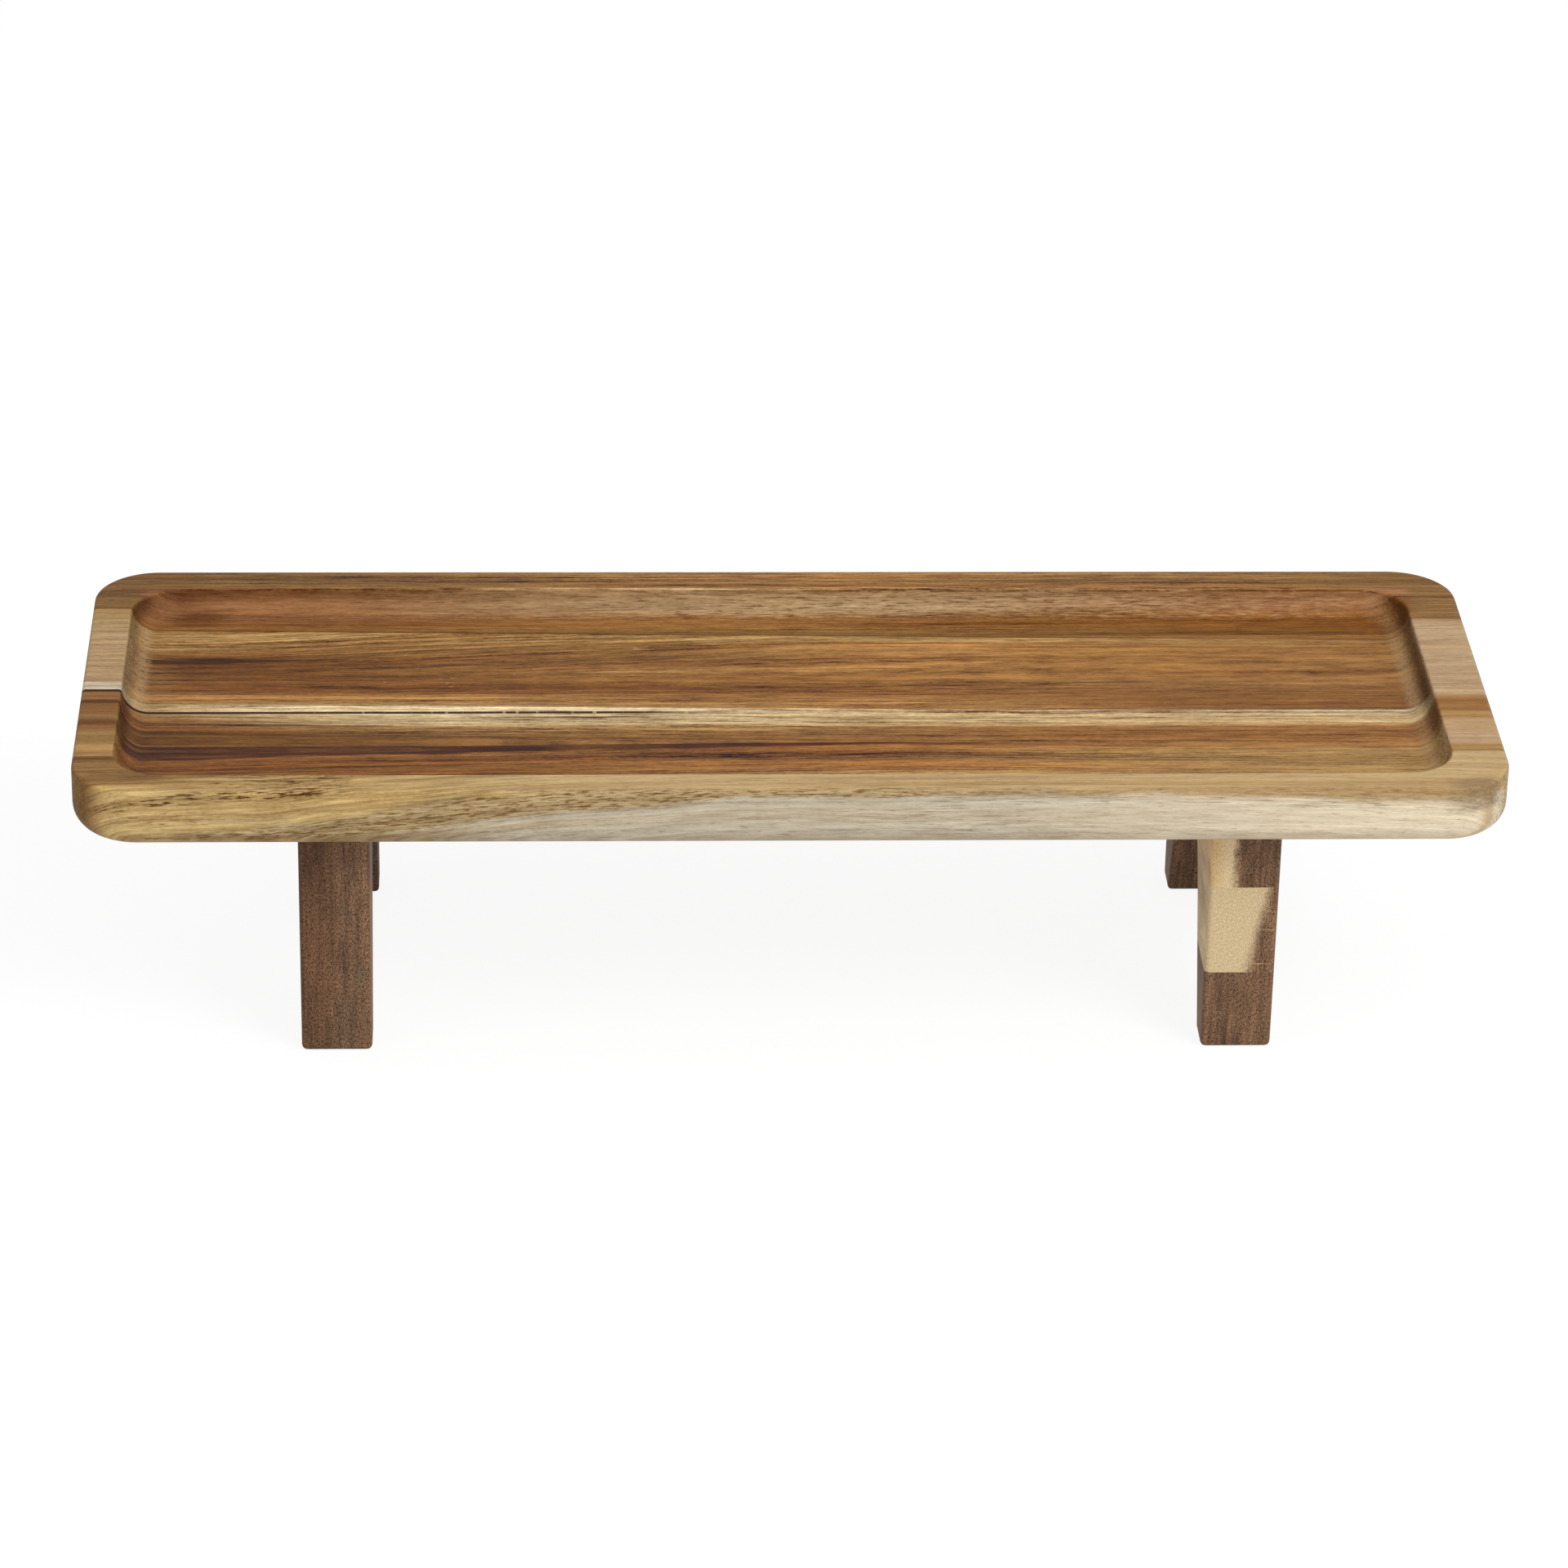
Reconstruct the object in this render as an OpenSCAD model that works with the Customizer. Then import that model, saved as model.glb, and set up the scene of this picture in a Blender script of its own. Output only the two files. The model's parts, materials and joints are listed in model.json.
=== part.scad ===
// Serving board of edge-glued wood with a routed well, on two glued trestle legs.
// The origin is on the table, under the middle of the board. X runs along the board,
// Y runs from its front edge to its rear edge, and Z is up. Lengths are in millimetres.

/* [Board] */
// Length of the board, end to end
board_l = 500; // [420:5:640]
// Width of the board, front to rear
board_w = 180; // [172:1:230]
// Thickness of the board
board_t = 23; // [21:0.5:34]
// Radius of the board's corners, seen from above
corner_r = 23; // [12:1:40]
// Radius of the rounding along the board's lower edge
lower_edge_r = 9; // [3:0.5:11]
// Radius of the easing along the board's upper edge
upper_edge_r = 1.5; // [0.5:0.1:3]

/* [Well] */
// Depth of the well below the rim
well_depth = 9; // [4:0.5:9]
// Radius of the cove that joins the well's floor to its walls
cove_r = 9.5; // [9.5:0.5:13]
// Radius of the well's corners at the rim, seen from above
well_corner_r = 18; // [14:1:34]
// Width of the rim at the left end
rim_left = 14; // [8:0.5:26]
// Width of the rim at the right end
rim_right = 19; // [8:0.5:26]
// Width of the rim along the front
rim_front = 13; // [8:0.5:24]
// Width of the rim along the rear
rim_rear = 16; // [8:0.5:24]
// Width of the easing along the rim's inner edge
rim_ease = 0.8; // [0.3:0.1:2]

/* [Staves] */
// Width of the front stave at the left end of the board
front_stave_left_w = 26; // [20:0.5:36]
// Width of the front stave at the right end of the board
front_stave_right_w = 29.5; // [20:0.5:36]
// Width of the front middle stave at the left end
front_middle_left_w = 54.5; // [42:0.5:60]
// Width of the front middle stave at the right end
front_middle_right_w = 51; // [42:0.5:58]
// Width of the rear middle stave at the left end
rear_middle_left_w = 67.5; // [60:0.5:74]
// Width of the rear middle stave at the right end
rear_middle_right_w = 57.5; // [50:0.5:66]
// Width of the rear stave at the left end of the board
rear_stave_left_w = 32; // [26:0.5:44]
// Width of the rear stave at the right end of the board
rear_stave_right_w = 42; // [34:0.5:52]

/* [Legs] */
// Height of each leg, from the table to the board's underside
leg_h = 92; // [84:1:130]
// Thickness of each leg panel, measured along the board
leg_t = 25; // [18:0.5:36]
// Distance between the centres of the two legs
leg_spacing = 320; // [220:5:340]
// Distance from the board's long edges in to the legs
leg_setback = 23; // [14:1:27]
// Radius of the rounding on the legs' outer edges
leg_edge_r = 2; // [1:0.25:4]
// Width of the easing along the edges of the arch
arch_ease = 1.2; // [0.4:0.1:2.5]
// Depth of each foot where it stands on the table
foot_depth = 13.5; // [10:0.5:16]
// Slant of the arch's sides from upright, in degrees
arch_slant = 22.3; // [16:0.1:24]
// Height of the arch's crown above the table
arch_h = 73; // [68:1:80]
// Height of the glue joint in the left leg
left_joint_h = 52; // [40:1:60]
// Height of the lower glue joint in the right leg
right_foot_joint_h = 30.5; // [20:0.5:40]
// Height of the upper glue joint in the right leg
right_rail_joint_h = 64.5; // [60:0.5:66]

/* [Dowels] */
// Diameter of the dowels
dowel_d = 8; // [6:0.5:10]
// Length of each dowel inside the board
dowel_in_board = 10; // [6:0.5:11]
// Length of each dowel inside the leg
dowel_in_leg = 16; // [10:0.5:18]
// Distance of each dowel from the middle of the leg
dowel_offset = 36; // [34:0.5:40]
// Chamfer on the ends of the dowels
dowel_chamfer = 1; // [0.5:0.1:1.5]

/* [Hidden] */
$fn = 64;

// Gap left for glue round each dowel
dowel_glue_gap = 0.1;
// Gap left at the blind ends of each dowel
dowel_end_gap = 0.5;
// How far every cutter runs past the surface that it cuts
overrun = 5;

// Places that follow from the sizes above
front_y = -board_w / 2;
board_z = leg_h;
top_z = leg_h + board_t;
leg_depth = board_w - 2 * leg_setback;
leg_x = leg_spacing / 2;

// The well's outline at the rim and the middle of that outline
well_l = board_l - rim_left - rim_right;
well_w = board_w - rim_front - rim_rear;
well_x = (rim_left - rim_right) / 2;
well_y = (rim_front - rim_rear) / 2;
// How far the cove reaches in over the floor
cove_reach = sqrt(pow(cove_r, 2) - pow(cove_r - well_depth, 2));

// Glue joints of the board, each as its distance from the front edge at [left end, right end].
// The staves fill the board: their widths are stretched alike where they don't add up to board_w
left_widths = [front_stave_left_w, front_middle_left_w, rear_middle_left_w, rear_stave_left_w];
right_widths = [front_stave_right_w, front_middle_right_w, rear_middle_right_w, rear_stave_right_w];
front_joint = [joint_place(left_widths, 1), joint_place(right_widths, 1)];
middle_joint = [joint_place(left_widths, 2), joint_place(right_widths, 2)];
rear_joint = [joint_place(left_widths, 3), joint_place(right_widths, 3)];

// The arch: half its width on the table, and the crown that touches both slanted sides
arch_half_w = leg_depth / 2 - foot_depth;
crown_r = (arch_half_w * cos(arch_slant) - arch_h * sin(arch_slant)) / (1 - sin(arch_slant));
crown_z = arch_h - crown_r;

// Sum of the first count widths
function width_sum(widths, count) = count == 0 ? 0 : widths[count - 1] + width_sum(widths, count - 1);

// Distance from the board's front edge to the glue joint behind the first count staves
function joint_place(widths, count) =
    board_w * width_sum(widths, count) / width_sum(widths, len(widths));

// What is cut away outside a rounded edge of radius r. The solid lies at x < 0 and y > 0
module edge_waste(r) {
    difference() {
        translate([-r, -overrun])
            square([r + overrun, r + overrun]);
        translate([-r, r])
            circle(r);
    }
}

// Section of the board's edge. x runs outwards from the centre of the corner, and y is up
module board_section() {
    difference() {
        square([corner_r, board_t]);
        translate([corner_r, 0])
            edge_waste(lower_edge_r);
        translate([corner_r, board_t])
            mirror([0, 1])
                edge_waste(upper_edge_r);
    }
}

// Section of the cutter for the well, outwards from the centre of its corner, with the rim at y = 0
module well_section() {
    floor_x = well_corner_r - cove_reach;
    translate([0, -well_depth])
        square([floor_x, well_depth + overrun]);
    intersection() {
        translate([floor_x, cove_r - well_depth])
            circle(cove_r);
        translate([0, -well_depth])
            square([well_corner_r, well_depth]);
    }
    polygon([
        [floor_x, -rim_ease],
        [well_corner_r - rim_ease, -rim_ease],
        [well_corner_r + rim_ease, 0],
        [well_corner_r + rim_ease, overrun],
        [floor_x, overrun]
    ]);
}

// Solid block of l by w with corners of radius r. The child is the section of its edge,
// which starts at the centre of the corner, and the block reaches from low to high
module rounded_block(l, w, r, low, high) {
    straight_l = l - 2 * r;
    straight_w = w - 2 * r;
    translate([-straight_l / 2, -straight_w / 2, low])
        cube([straight_l, straight_w, high - low]);
    for (turn = [0, 180])
        rotate([0, 0, turn]) {
            translate([straight_l / 2, straight_w / 2])
                rotate_extrude(angle = 90)
                    children();
            translate([-straight_l / 2, straight_w / 2])
                rotate([0, 0, 90])
                    rotate_extrude(angle = 90)
                        children();
            translate([-straight_l / 2, straight_w / 2])
                rotate([90, 0, 90])
                    linear_extrude(straight_l)
                        children();
            translate([straight_l / 2, straight_w / 2])
                rotate([90, 0, 0])
                    linear_extrude(straight_w)
                        children();
        }
}

// The whole board before it is parted into staves, with its well and the bores for the dowels
module board_blank() {
    difference() {
        translate([0, 0, board_z])
            rounded_block(board_l, board_w, corner_r, 0, board_t)
                board_section();
        translate([well_x, well_y, top_z])
            rounded_block(well_l, well_w, well_corner_r, -well_depth, overrun)
                well_section();
        for (side = [-1, 1])
            dowel_bores(side);
    }
}

// Y of a glue joint at place x along the board
function joint_y(joint, x) =
    front_y + joint[0] + (joint[1] - joint[0]) * (x + board_l / 2) / board_l;

// One stave: the part of the board between two glue joints
module stave(near, far) {
    end_x = board_l / 2 + overrun;
    intersection() {
        board_blank();
        translate([0, 0, board_z - overrun])
            linear_extrude(board_t + 2 * overrun)
                polygon([
                    [-end_x, joint_y(near, -end_x)],
                    [end_x, joint_y(near, end_x)],
                    [end_x, joint_y(far, end_x)],
                    [-end_x, joint_y(far, -end_x)]
                ]);
    }
}

module front_stave() {
    outside = [-overrun, -overrun];
    color("burlywood")
        stave(outside, front_joint);
}

module front_middle_stave() {
    color("peru")
        stave(front_joint, middle_joint);
}

module rear_middle_stave() {
    color("sienna")
        stave(middle_joint, rear_joint);
}

module rear_stave() {
    outside = [board_w + overrun, board_w + overrun];
    color("saddlebrown")
        stave(rear_joint, outside);
}

// Rectangle of w by h standing on y = 0, with rounded lower corners of radius r
module sole_rounded(w, h, r) {
    translate([-w / 2, r])
        square([w, h - r]);
    translate([r - w / 2, 0])
        square([w - 2 * r, h]);
    for (side = [-1, 1])
        translate([side * (w / 2 - r), r])
            circle(r);
}

// Rectangle of w by d about the origin, with all four corners of radius r
module rounded_plan(w, d, r) {
    square([w, d - 2 * r], center = true);
    square([w - 2 * r, d], center = true);
    for (side = [-1, 1], end = [-1, 1])
        translate([side * (w / 2 - r), end * (d / 2 - r)])
            circle(r);
}

// Leg panel with rounded outer edges, before the arch is cut. It stands on z = 0, about the Z axis
module leg_slab() {
    intersection() {
        linear_extrude(leg_h)
            rounded_plan(leg_t, leg_depth, leg_edge_r);
        translate([0, leg_depth])
            rotate([90, 0, 0])
                linear_extrude(2 * leg_depth)
                    sole_rounded(leg_t, leg_h + overrun, leg_edge_r);
        translate([-leg_t, 0])
            rotate([90, 0, 90])
                linear_extrude(2 * leg_t)
                    sole_rounded(leg_depth, leg_h + overrun, leg_edge_r);
    }
}

// Section of the arch's cutter, outwards from the crown's axis. It flares at both faces of the leg
module arch_section() {
    face_x = leg_t / 2;
    reach = arch_ease + overrun;
    polygon([
        [0, -face_x - overrun],
        [crown_r + reach, -face_x - overrun],
        [crown_r, arch_ease - face_x],
        [crown_r, face_x - arch_ease],
        [crown_r + reach, face_x + overrun],
        [0, face_x + overrun]
    ]);
}

// The crown of the arch's cutter, and the slanted side below one end of it
module arch_half(side_l) {
    rotate([0, 0, arch_slant]) {
        rotate_extrude(angle = 180 - 2 * arch_slant)
            arch_section();
        rotate([90, 0, 0])
            linear_extrude(side_l)
                arch_section();
    }
}

// Cutter for the arch: both sides with their crown, and a core that fills the space between the sides
module arch_cutter() {
    side_l = (crown_z + crown_r * sin(arch_slant) + 2 * overrun) / cos(arch_slant);
    cut_t = leg_t + 2 * overrun;
    core_y = crown_r / 2 * cos(arch_slant);
    core_z = crown_r / 2 * sin(arch_slant);
    foot_y = core_y + side_l * sin(arch_slant);
    foot_z = core_z - side_l * cos(arch_slant);
    rotate([90, 0, 90])
        translate([0, crown_z]) {
            arch_half(side_l);
            mirror([1, 0, 0])
                arch_half(side_l);
            translate([0, 0, -cut_t / 2])
                linear_extrude(cut_t)
                    polygon([
                        [core_y, core_z],
                        [foot_y, foot_z],
                        [-foot_y, foot_z],
                        [-core_y, core_z]
                    ]);
        }
}

// Eases the edge between the sole and the arch, on the rear foot
module sole_easing() {
    outer_y = arch_half_w + arch_ease;
    translate([-leg_t, 0])
        rotate([90, 0, 90])
            linear_extrude(2 * leg_t)
                polygon([
                    [outer_y + overrun, -overrun],
                    [outer_y - 2 * overrun, 2 * overrun],
                    [outer_y - 2 * overrun, -overrun]
                ]);
}

// The whole leg at one side of the board, -1 for the left and 1 for the right
module leg_blank(side) {
    translate([side * leg_x, 0])
        difference() {
            leg_slab();
            arch_cutter();
            sole_easing();
            mirror([0, 1, 0])
                sole_easing();
        }
}

// One half of a leg from height low to high. end is -1 for the front half and 1 for the rear half
module foot_piece(side, low, high, end) {
    intersection() {
        leg_blank(side);
        translate([side * leg_x - leg_t, end > 0 ? 0 : -leg_depth, low])
            cube([2 * leg_t, leg_depth, high - low]);
    }
}

// The top of a leg, from height low to the board, with the arch's crown and the dowels' bores
module rail_piece(side, low) {
    difference() {
        intersection() {
            leg_blank(side);
            translate([side * leg_x - leg_t, -leg_depth, low])
                cube([2 * leg_t, 2 * leg_depth, leg_h - low]);
        }
        dowel_bores(side);
    }
}

module left_leg_rail() {
    color("#5f4636")
        rail_piece(-1, left_joint_h);
}

module left_front_foot() {
    color("#6b4d3a")
        foot_piece(-1, 0, left_joint_h, -1);
}

module left_rear_foot() {
    color("#6b4d3a")
        foot_piece(-1, 0, left_joint_h, 1);
}

module right_leg_rail() {
    color("#b8946a")
        rail_piece(1, right_rail_joint_h);
}

module right_front_upright() {
    color("#d9b98a")
        foot_piece(1, right_foot_joint_h, right_rail_joint_h, -1);
}

module right_rear_upright() {
    color("#d9b98a")
        foot_piece(1, right_foot_joint_h, right_rail_joint_h, 1);
}

module right_front_foot() {
    color("#6e5241")
        foot_piece(1, 0, right_foot_joint_h, -1);
}

module right_rear_foot() {
    color("#6e5241")
        foot_piece(1, 0, right_foot_joint_h, 1);
}

// Places the child at both dowels of one leg, where the leg meets the board
module at_dowels(side) {
    for (end = [-1, 1])
        translate([side * leg_x, end * dowel_offset, leg_h])
            children();
}

// Blind bores for one leg's dowels, in the leg and in the board
module dowel_bores(side) {
    depth_in_leg = dowel_in_leg + dowel_end_gap;
    depth_in_board = dowel_in_board + dowel_end_gap;
    at_dowels(side)
        translate([0, 0, -depth_in_leg])
            cylinder(h = depth_in_leg + depth_in_board, d = dowel_d + 2 * dowel_glue_gap);
}

// One leg's two dowels, with chamfered ends
module dowels(side) {
    r = dowel_d / 2;
    at_dowels(side)
        rotate_extrude()
            polygon([
                [0, -dowel_in_leg],
                [r - dowel_chamfer, -dowel_in_leg],
                [r, dowel_chamfer - dowel_in_leg],
                [r, dowel_in_board - dowel_chamfer],
                [r - dowel_chamfer, dowel_in_board],
                [0, dowel_in_board]
            ]);
}

module left_leg_dowels() {
    color("wheat")
        dowels(-1);
}

module right_leg_dowels() {
    color("wheat")
        dowels(1);
}

rear_stave();
rear_middle_stave();
front_middle_stave();
front_stave();
left_leg_rail();
left_front_foot();
left_rear_foot();
right_leg_rail();
right_front_upright();
right_rear_upright();
right_front_foot();
right_rear_foot();
left_leg_dowels();
right_leg_dowels();
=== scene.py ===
# %% [markdown]
# # A serving board of glued wood on two trestle legs
# The real object is a shallow wooden tray, routed from a slab of four glued staves, that stands on
# two short legs. The CAD model fixes every size. This script dresses it: it makes each stave and
# each block of the legs again as a smoother piece, gives each its own wood, and lights the whole
# as a product photograph.

# %% Load the frame
import json
import math

import bmesh
import bpy
from mathutils import Matrix, Vector

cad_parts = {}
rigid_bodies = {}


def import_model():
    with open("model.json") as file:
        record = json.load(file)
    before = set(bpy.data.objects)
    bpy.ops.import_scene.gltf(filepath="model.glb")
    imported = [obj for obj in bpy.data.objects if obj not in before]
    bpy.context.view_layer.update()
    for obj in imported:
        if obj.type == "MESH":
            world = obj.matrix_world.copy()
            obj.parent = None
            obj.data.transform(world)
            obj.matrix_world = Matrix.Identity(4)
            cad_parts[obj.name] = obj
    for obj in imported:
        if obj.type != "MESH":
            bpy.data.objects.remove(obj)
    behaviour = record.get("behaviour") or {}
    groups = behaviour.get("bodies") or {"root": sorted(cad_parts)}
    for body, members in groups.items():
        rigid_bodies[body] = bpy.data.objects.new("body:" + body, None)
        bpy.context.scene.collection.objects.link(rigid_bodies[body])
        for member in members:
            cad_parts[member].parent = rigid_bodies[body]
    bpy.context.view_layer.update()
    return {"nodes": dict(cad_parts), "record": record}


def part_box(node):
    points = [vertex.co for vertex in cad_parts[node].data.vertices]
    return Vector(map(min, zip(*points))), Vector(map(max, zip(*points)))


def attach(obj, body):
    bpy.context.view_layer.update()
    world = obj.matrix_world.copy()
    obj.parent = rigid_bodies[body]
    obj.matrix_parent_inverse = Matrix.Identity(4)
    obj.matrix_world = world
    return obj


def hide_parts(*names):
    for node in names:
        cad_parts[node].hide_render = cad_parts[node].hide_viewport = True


for leftover in list(bpy.data.objects):
    bpy.data.objects.remove(leftover)
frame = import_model()

# %% [markdown]
# ## Arithmetic on sockets
# A node tree is hard to read when each sum is three lines of code. A small class wraps one socket
# and gives it the usual operators, so that an expression in Python adds the Math nodes that work it
# out. The same class serves the geometry trees and the materials, because both share these nodes.


# %% One socket with operators
class Wire:
    """One output socket of a node. Sums, products and quotients of wires add the nodes they need."""

    def __init__(self, socket):
        self.socket = socket
        self.tree = socket.id_data

    @classmethod
    def node(cls, tree, kind, values=None, settings=None, output=0):
        """Any node: its type, the values or wires of its sockets, and its settings."""
        new = tree.nodes.new(kind)
        for name, setting in (settings or {}).items():
            if name == "stops":
                cls.set_stops(new.color_ramp, setting)
            else:
                setattr(new, name, setting)
        for key, value in (values or {}).items():
            if isinstance(value, cls):
                tree.links.new(value.socket, new.inputs[key])
            else:
                new.inputs[key].default_value = value
        return cls(new.outputs[output])

    @staticmethod
    def set_stops(ramp, stops):
        """Fills a colour ramp from pairs of a place from 0 to 1 and a colour."""
        ramp.elements[0].position = stops[0][0]
        ramp.elements[0].color = (*stops[0][1], 1)
        ramp.elements[-1].position = stops[-1][0]
        ramp.elements[-1].color = (*stops[-1][1], 1)
        for place, colour in stops[1:-1]:
            ramp.elements.new(place).color = (*colour, 1)

    @classmethod
    def math(cls, operation, *terms):
        """A Math node where all terms are numbers, and a Vector Math node where one isn't."""
        wires = [term for term in terms if isinstance(term, cls)]
        numbers = all(wire.socket.type in ("VALUE", "INT") for wire in wires)
        numbers = numbers and not any(isinstance(term, tuple) for term in terms)
        kind = "ShaderNodeMath" if numbers else "ShaderNodeVectorMath"
        if not numbers:
            terms = [term if isinstance(term, cls) else cls.triple(term) for term in terms]
        return cls.node(wires[0].tree, kind, dict(enumerate(terms)), {"operation": operation})

    @staticmethod
    def triple(term):
        return tuple(term) if hasattr(term, "__len__") else (term, term, term)

    def __add__(self, other):
        return Wire.math("ADD", self, other)

    def __sub__(self, other):
        return Wire.math("SUBTRACT", self, other)

    def __mul__(self, other):
        return Wire.math("MULTIPLY", self, other)

    def __truediv__(self, other):
        return Wire.math("DIVIDE", self, other)

    def __rsub__(self, other):
        return Wire.math("SUBTRACT", other, self)

    __radd__ = __add__
    __rmul__ = __mul__


def clamped(wire):
    return Wire.math("MINIMUM", Wire.math("MAXIMUM", wire, 0.0), 1.0)


def join(tree, x, y, z):
    return Wire.node(tree, "ShaderNodeCombineXYZ", {0: x, 1: y, 2: z})


def part_of(vector, axis):
    return Wire.node(vector.tree, "ShaderNodeSeparateXYZ", {0: vector}, output="xyz".index(axis))


print("Wires are ready for geometry and for materials")

# %% [markdown]
# ## The outline of the board
# The board follows a rule. Every level of it is a rectangle with rounded corners, drawn in or let
# out: the rounded lower edge, the easing at the top, the rim, the cove and the flat floor. So a
# Geometry Nodes tree bends a flat grid into it. One direction of the grid runs round the outline, and
# the other runs up the outside, over the rim and down into the well. The named inputs are the sizes
# that a maker would change. Bevelling a box couldn't give the cove its true quarter round.

# %% Sizes of the board, in metres
STAVES = ["front_stave", "front_middle_stave", "rear_middle_stave", "rear_stave"]
TOUCHING = 1e-6


def corners(points):
    """The lowest and the highest corner of the box round some points."""
    points = list(points)
    return [Vector(limit(point[axis] for point in points) for axis in range(3)) for limit in (min, max)]


def box_round(nodes):
    """The lowest and the highest corner of the box round some nodes of the CAD model."""
    return corners(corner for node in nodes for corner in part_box(node))


board_low, board_high = box_round(STAVES)
board = board_high - board_low
rim = {"left": 0.014, "right": 0.019, "front": 0.013, "rear": 0.016}
board_sizes = {
    "Length": board.x,
    "Width": board.y,
    "Thickness": board.z,
    "Underside": board_low.z,
    "Corner radius": 0.023,
    "Lower rounding": 0.009,
    "Upper easing": 0.0015,
    "Well length": board.x - rim["left"] - rim["right"],
    "Well width": board.y - rim["front"] - rim["rear"],
    "Well shift along": (rim["left"] - rim["right"]) / 2,
    "Well shift back": (rim["front"] - rim["rear"]) / 2,
    "Well corner radius": 0.018,
    "Well depth": 0.009,
    "Cove radius": 0.0095,
    "Rim easing": 0.0009,
}
print("Board in millimetres:", [round(1000 * size, 1) for size in board])


# %% From a tree with named number inputs to a plain mesh
def new_tree(name, inputs):
    """A geometry tree, its input wires by name, and the node that ends it."""
    tree = bpy.data.node_groups.new(name, "GeometryNodeTree")
    tree.interface.new_socket("Geometry", in_out="OUTPUT", socket_type="NodeSocketGeometry")
    for title in inputs:
        tree.interface.new_socket(title, in_out="INPUT", socket_type="NodeSocketFloat")
    start = tree.nodes.new("NodeGroupInput")
    wires = {title: Wire(start.outputs[title]) for title in inputs}
    return tree, wires, tree.nodes.new("NodeGroupOutput")


def finish_tree(tree, ending, mesh, material):
    """Ends a tree in Realize Instances and Set Material."""
    real = Wire.node(tree, "GeometryNodeRealizeInstances", {"Geometry": mesh})
    values = {"Geometry": real, "Material": material}
    dressed = Wire.node(tree, "GeometryNodeSetMaterial", values)
    tree.links.new(dressed.socket, ending.inputs[0])


def new_object(name, data):
    """An object that is linked into the scene."""
    thing = bpy.data.objects.new(name, data)
    bpy.context.scene.collection.objects.link(thing)
    return thing


def baked(thing):
    """What the modifiers of an object make of its mesh, as a plain mesh."""
    shown = thing.evaluated_get(bpy.context.evaluated_depsgraph_get())
    return bpy.data.meshes.new_from_object(shown)


def plain_mesh(name, tree, sizes):
    """Runs a tree with these sizes and returns its result as a plain mesh."""
    carrier = new_object(name, bpy.data.meshes.new(name))
    modifier = carrier.modifiers.new("shape", "NODES")
    modifier.node_group = tree
    for item in tree.interface.items_tree:
        if item.in_out == "INPUT":
            modifier[item.identifier] = sizes[item.name]
    mesh = baked(carrier)
    bpy.data.objects.remove(carrier)
    return mesh


# %% Steps of the grid
CORNER_STEPS = 16
LOWER_STEPS = 10
UPPER_STEPS = 4
EASE_STEPS = 4
COVE_STEPS = 14
RING = 4 * (CORNER_STEPS + 1) + 1
UPPER_FROM = 2 + LOWER_STEPS
EASE_FROM = UPPER_FROM + UPPER_STEPS + 1
COVE_FROM = EASE_FROM + EASE_STEPS
STATIONS = COVE_FROM + COVE_STEPS + 2
RIGHT_ANGLE = math.pi / 2


def floor_of(wire):
    return Wire.math("FLOOR", wire)


def sine(wire):
    return Wire.math("SINE", wire)


def cosine(wire):
    return Wire.math("COSINE", wire)


def at_least(wire, limit):
    """1 where a whole number has reached the limit, and 0 below."""
    return Wire.math("GREATER_THAN", wire, limit - 0.5)


def quarter_turn(station, start, steps):
    """An angle that grows from none to a right angle over the steps after a station."""
    return clamped((station - start) / steps) * RIGHT_ANGLE


# %% The section of the outside and of the well
def outer_section(size, station):
    """How far the outside is drawn in, and how high it lies above the underside."""
    lower = quarter_turn(station, 1, LOWER_STEPS)
    upper = quarter_turn(station, UPPER_FROM, UPPER_STEPS)
    outer_r = size["Lower rounding"]
    upper_r = size["Upper easing"]
    inset = outer_r * (1 - sine(lower)) + upper_r * (1 - cosine(upper))
    wall = at_least(station, UPPER_FROM) * (size["Thickness"] - outer_r - upper_r)
    return inset, outer_r * (1 - cosine(lower)) + wall + upper_r * sine(upper)


def well_section(size, station):
    """How far the well is drawn in, and how deep it lies below the rim."""
    ease = quarter_turn(station, EASE_FROM, EASE_STEPS)
    easing = size["Rim easing"]
    cove_r = size["Cove radius"]
    lift = cove_r - size["Well depth"]
    first = Wire.math("ARCSINE", (lift + easing) / cove_r)
    share = clamped((station - COVE_FROM) / COVE_STEPS)
    turn = first + (RIGHT_ANGLE - first) * share
    reach = Wire.math("SQRT", cove_r * cove_r - lift * lift)
    edge_in = reach - cove_r * cosine(first)
    ease_in = (edge_in + easing) * sine(ease) - easing
    inset = ease_in + cove_r * (cosine(first) - cosine(turn))
    return inset, easing * (1 - cosine(ease)) + cove_r * (sine(turn) - sine(first))


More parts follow.
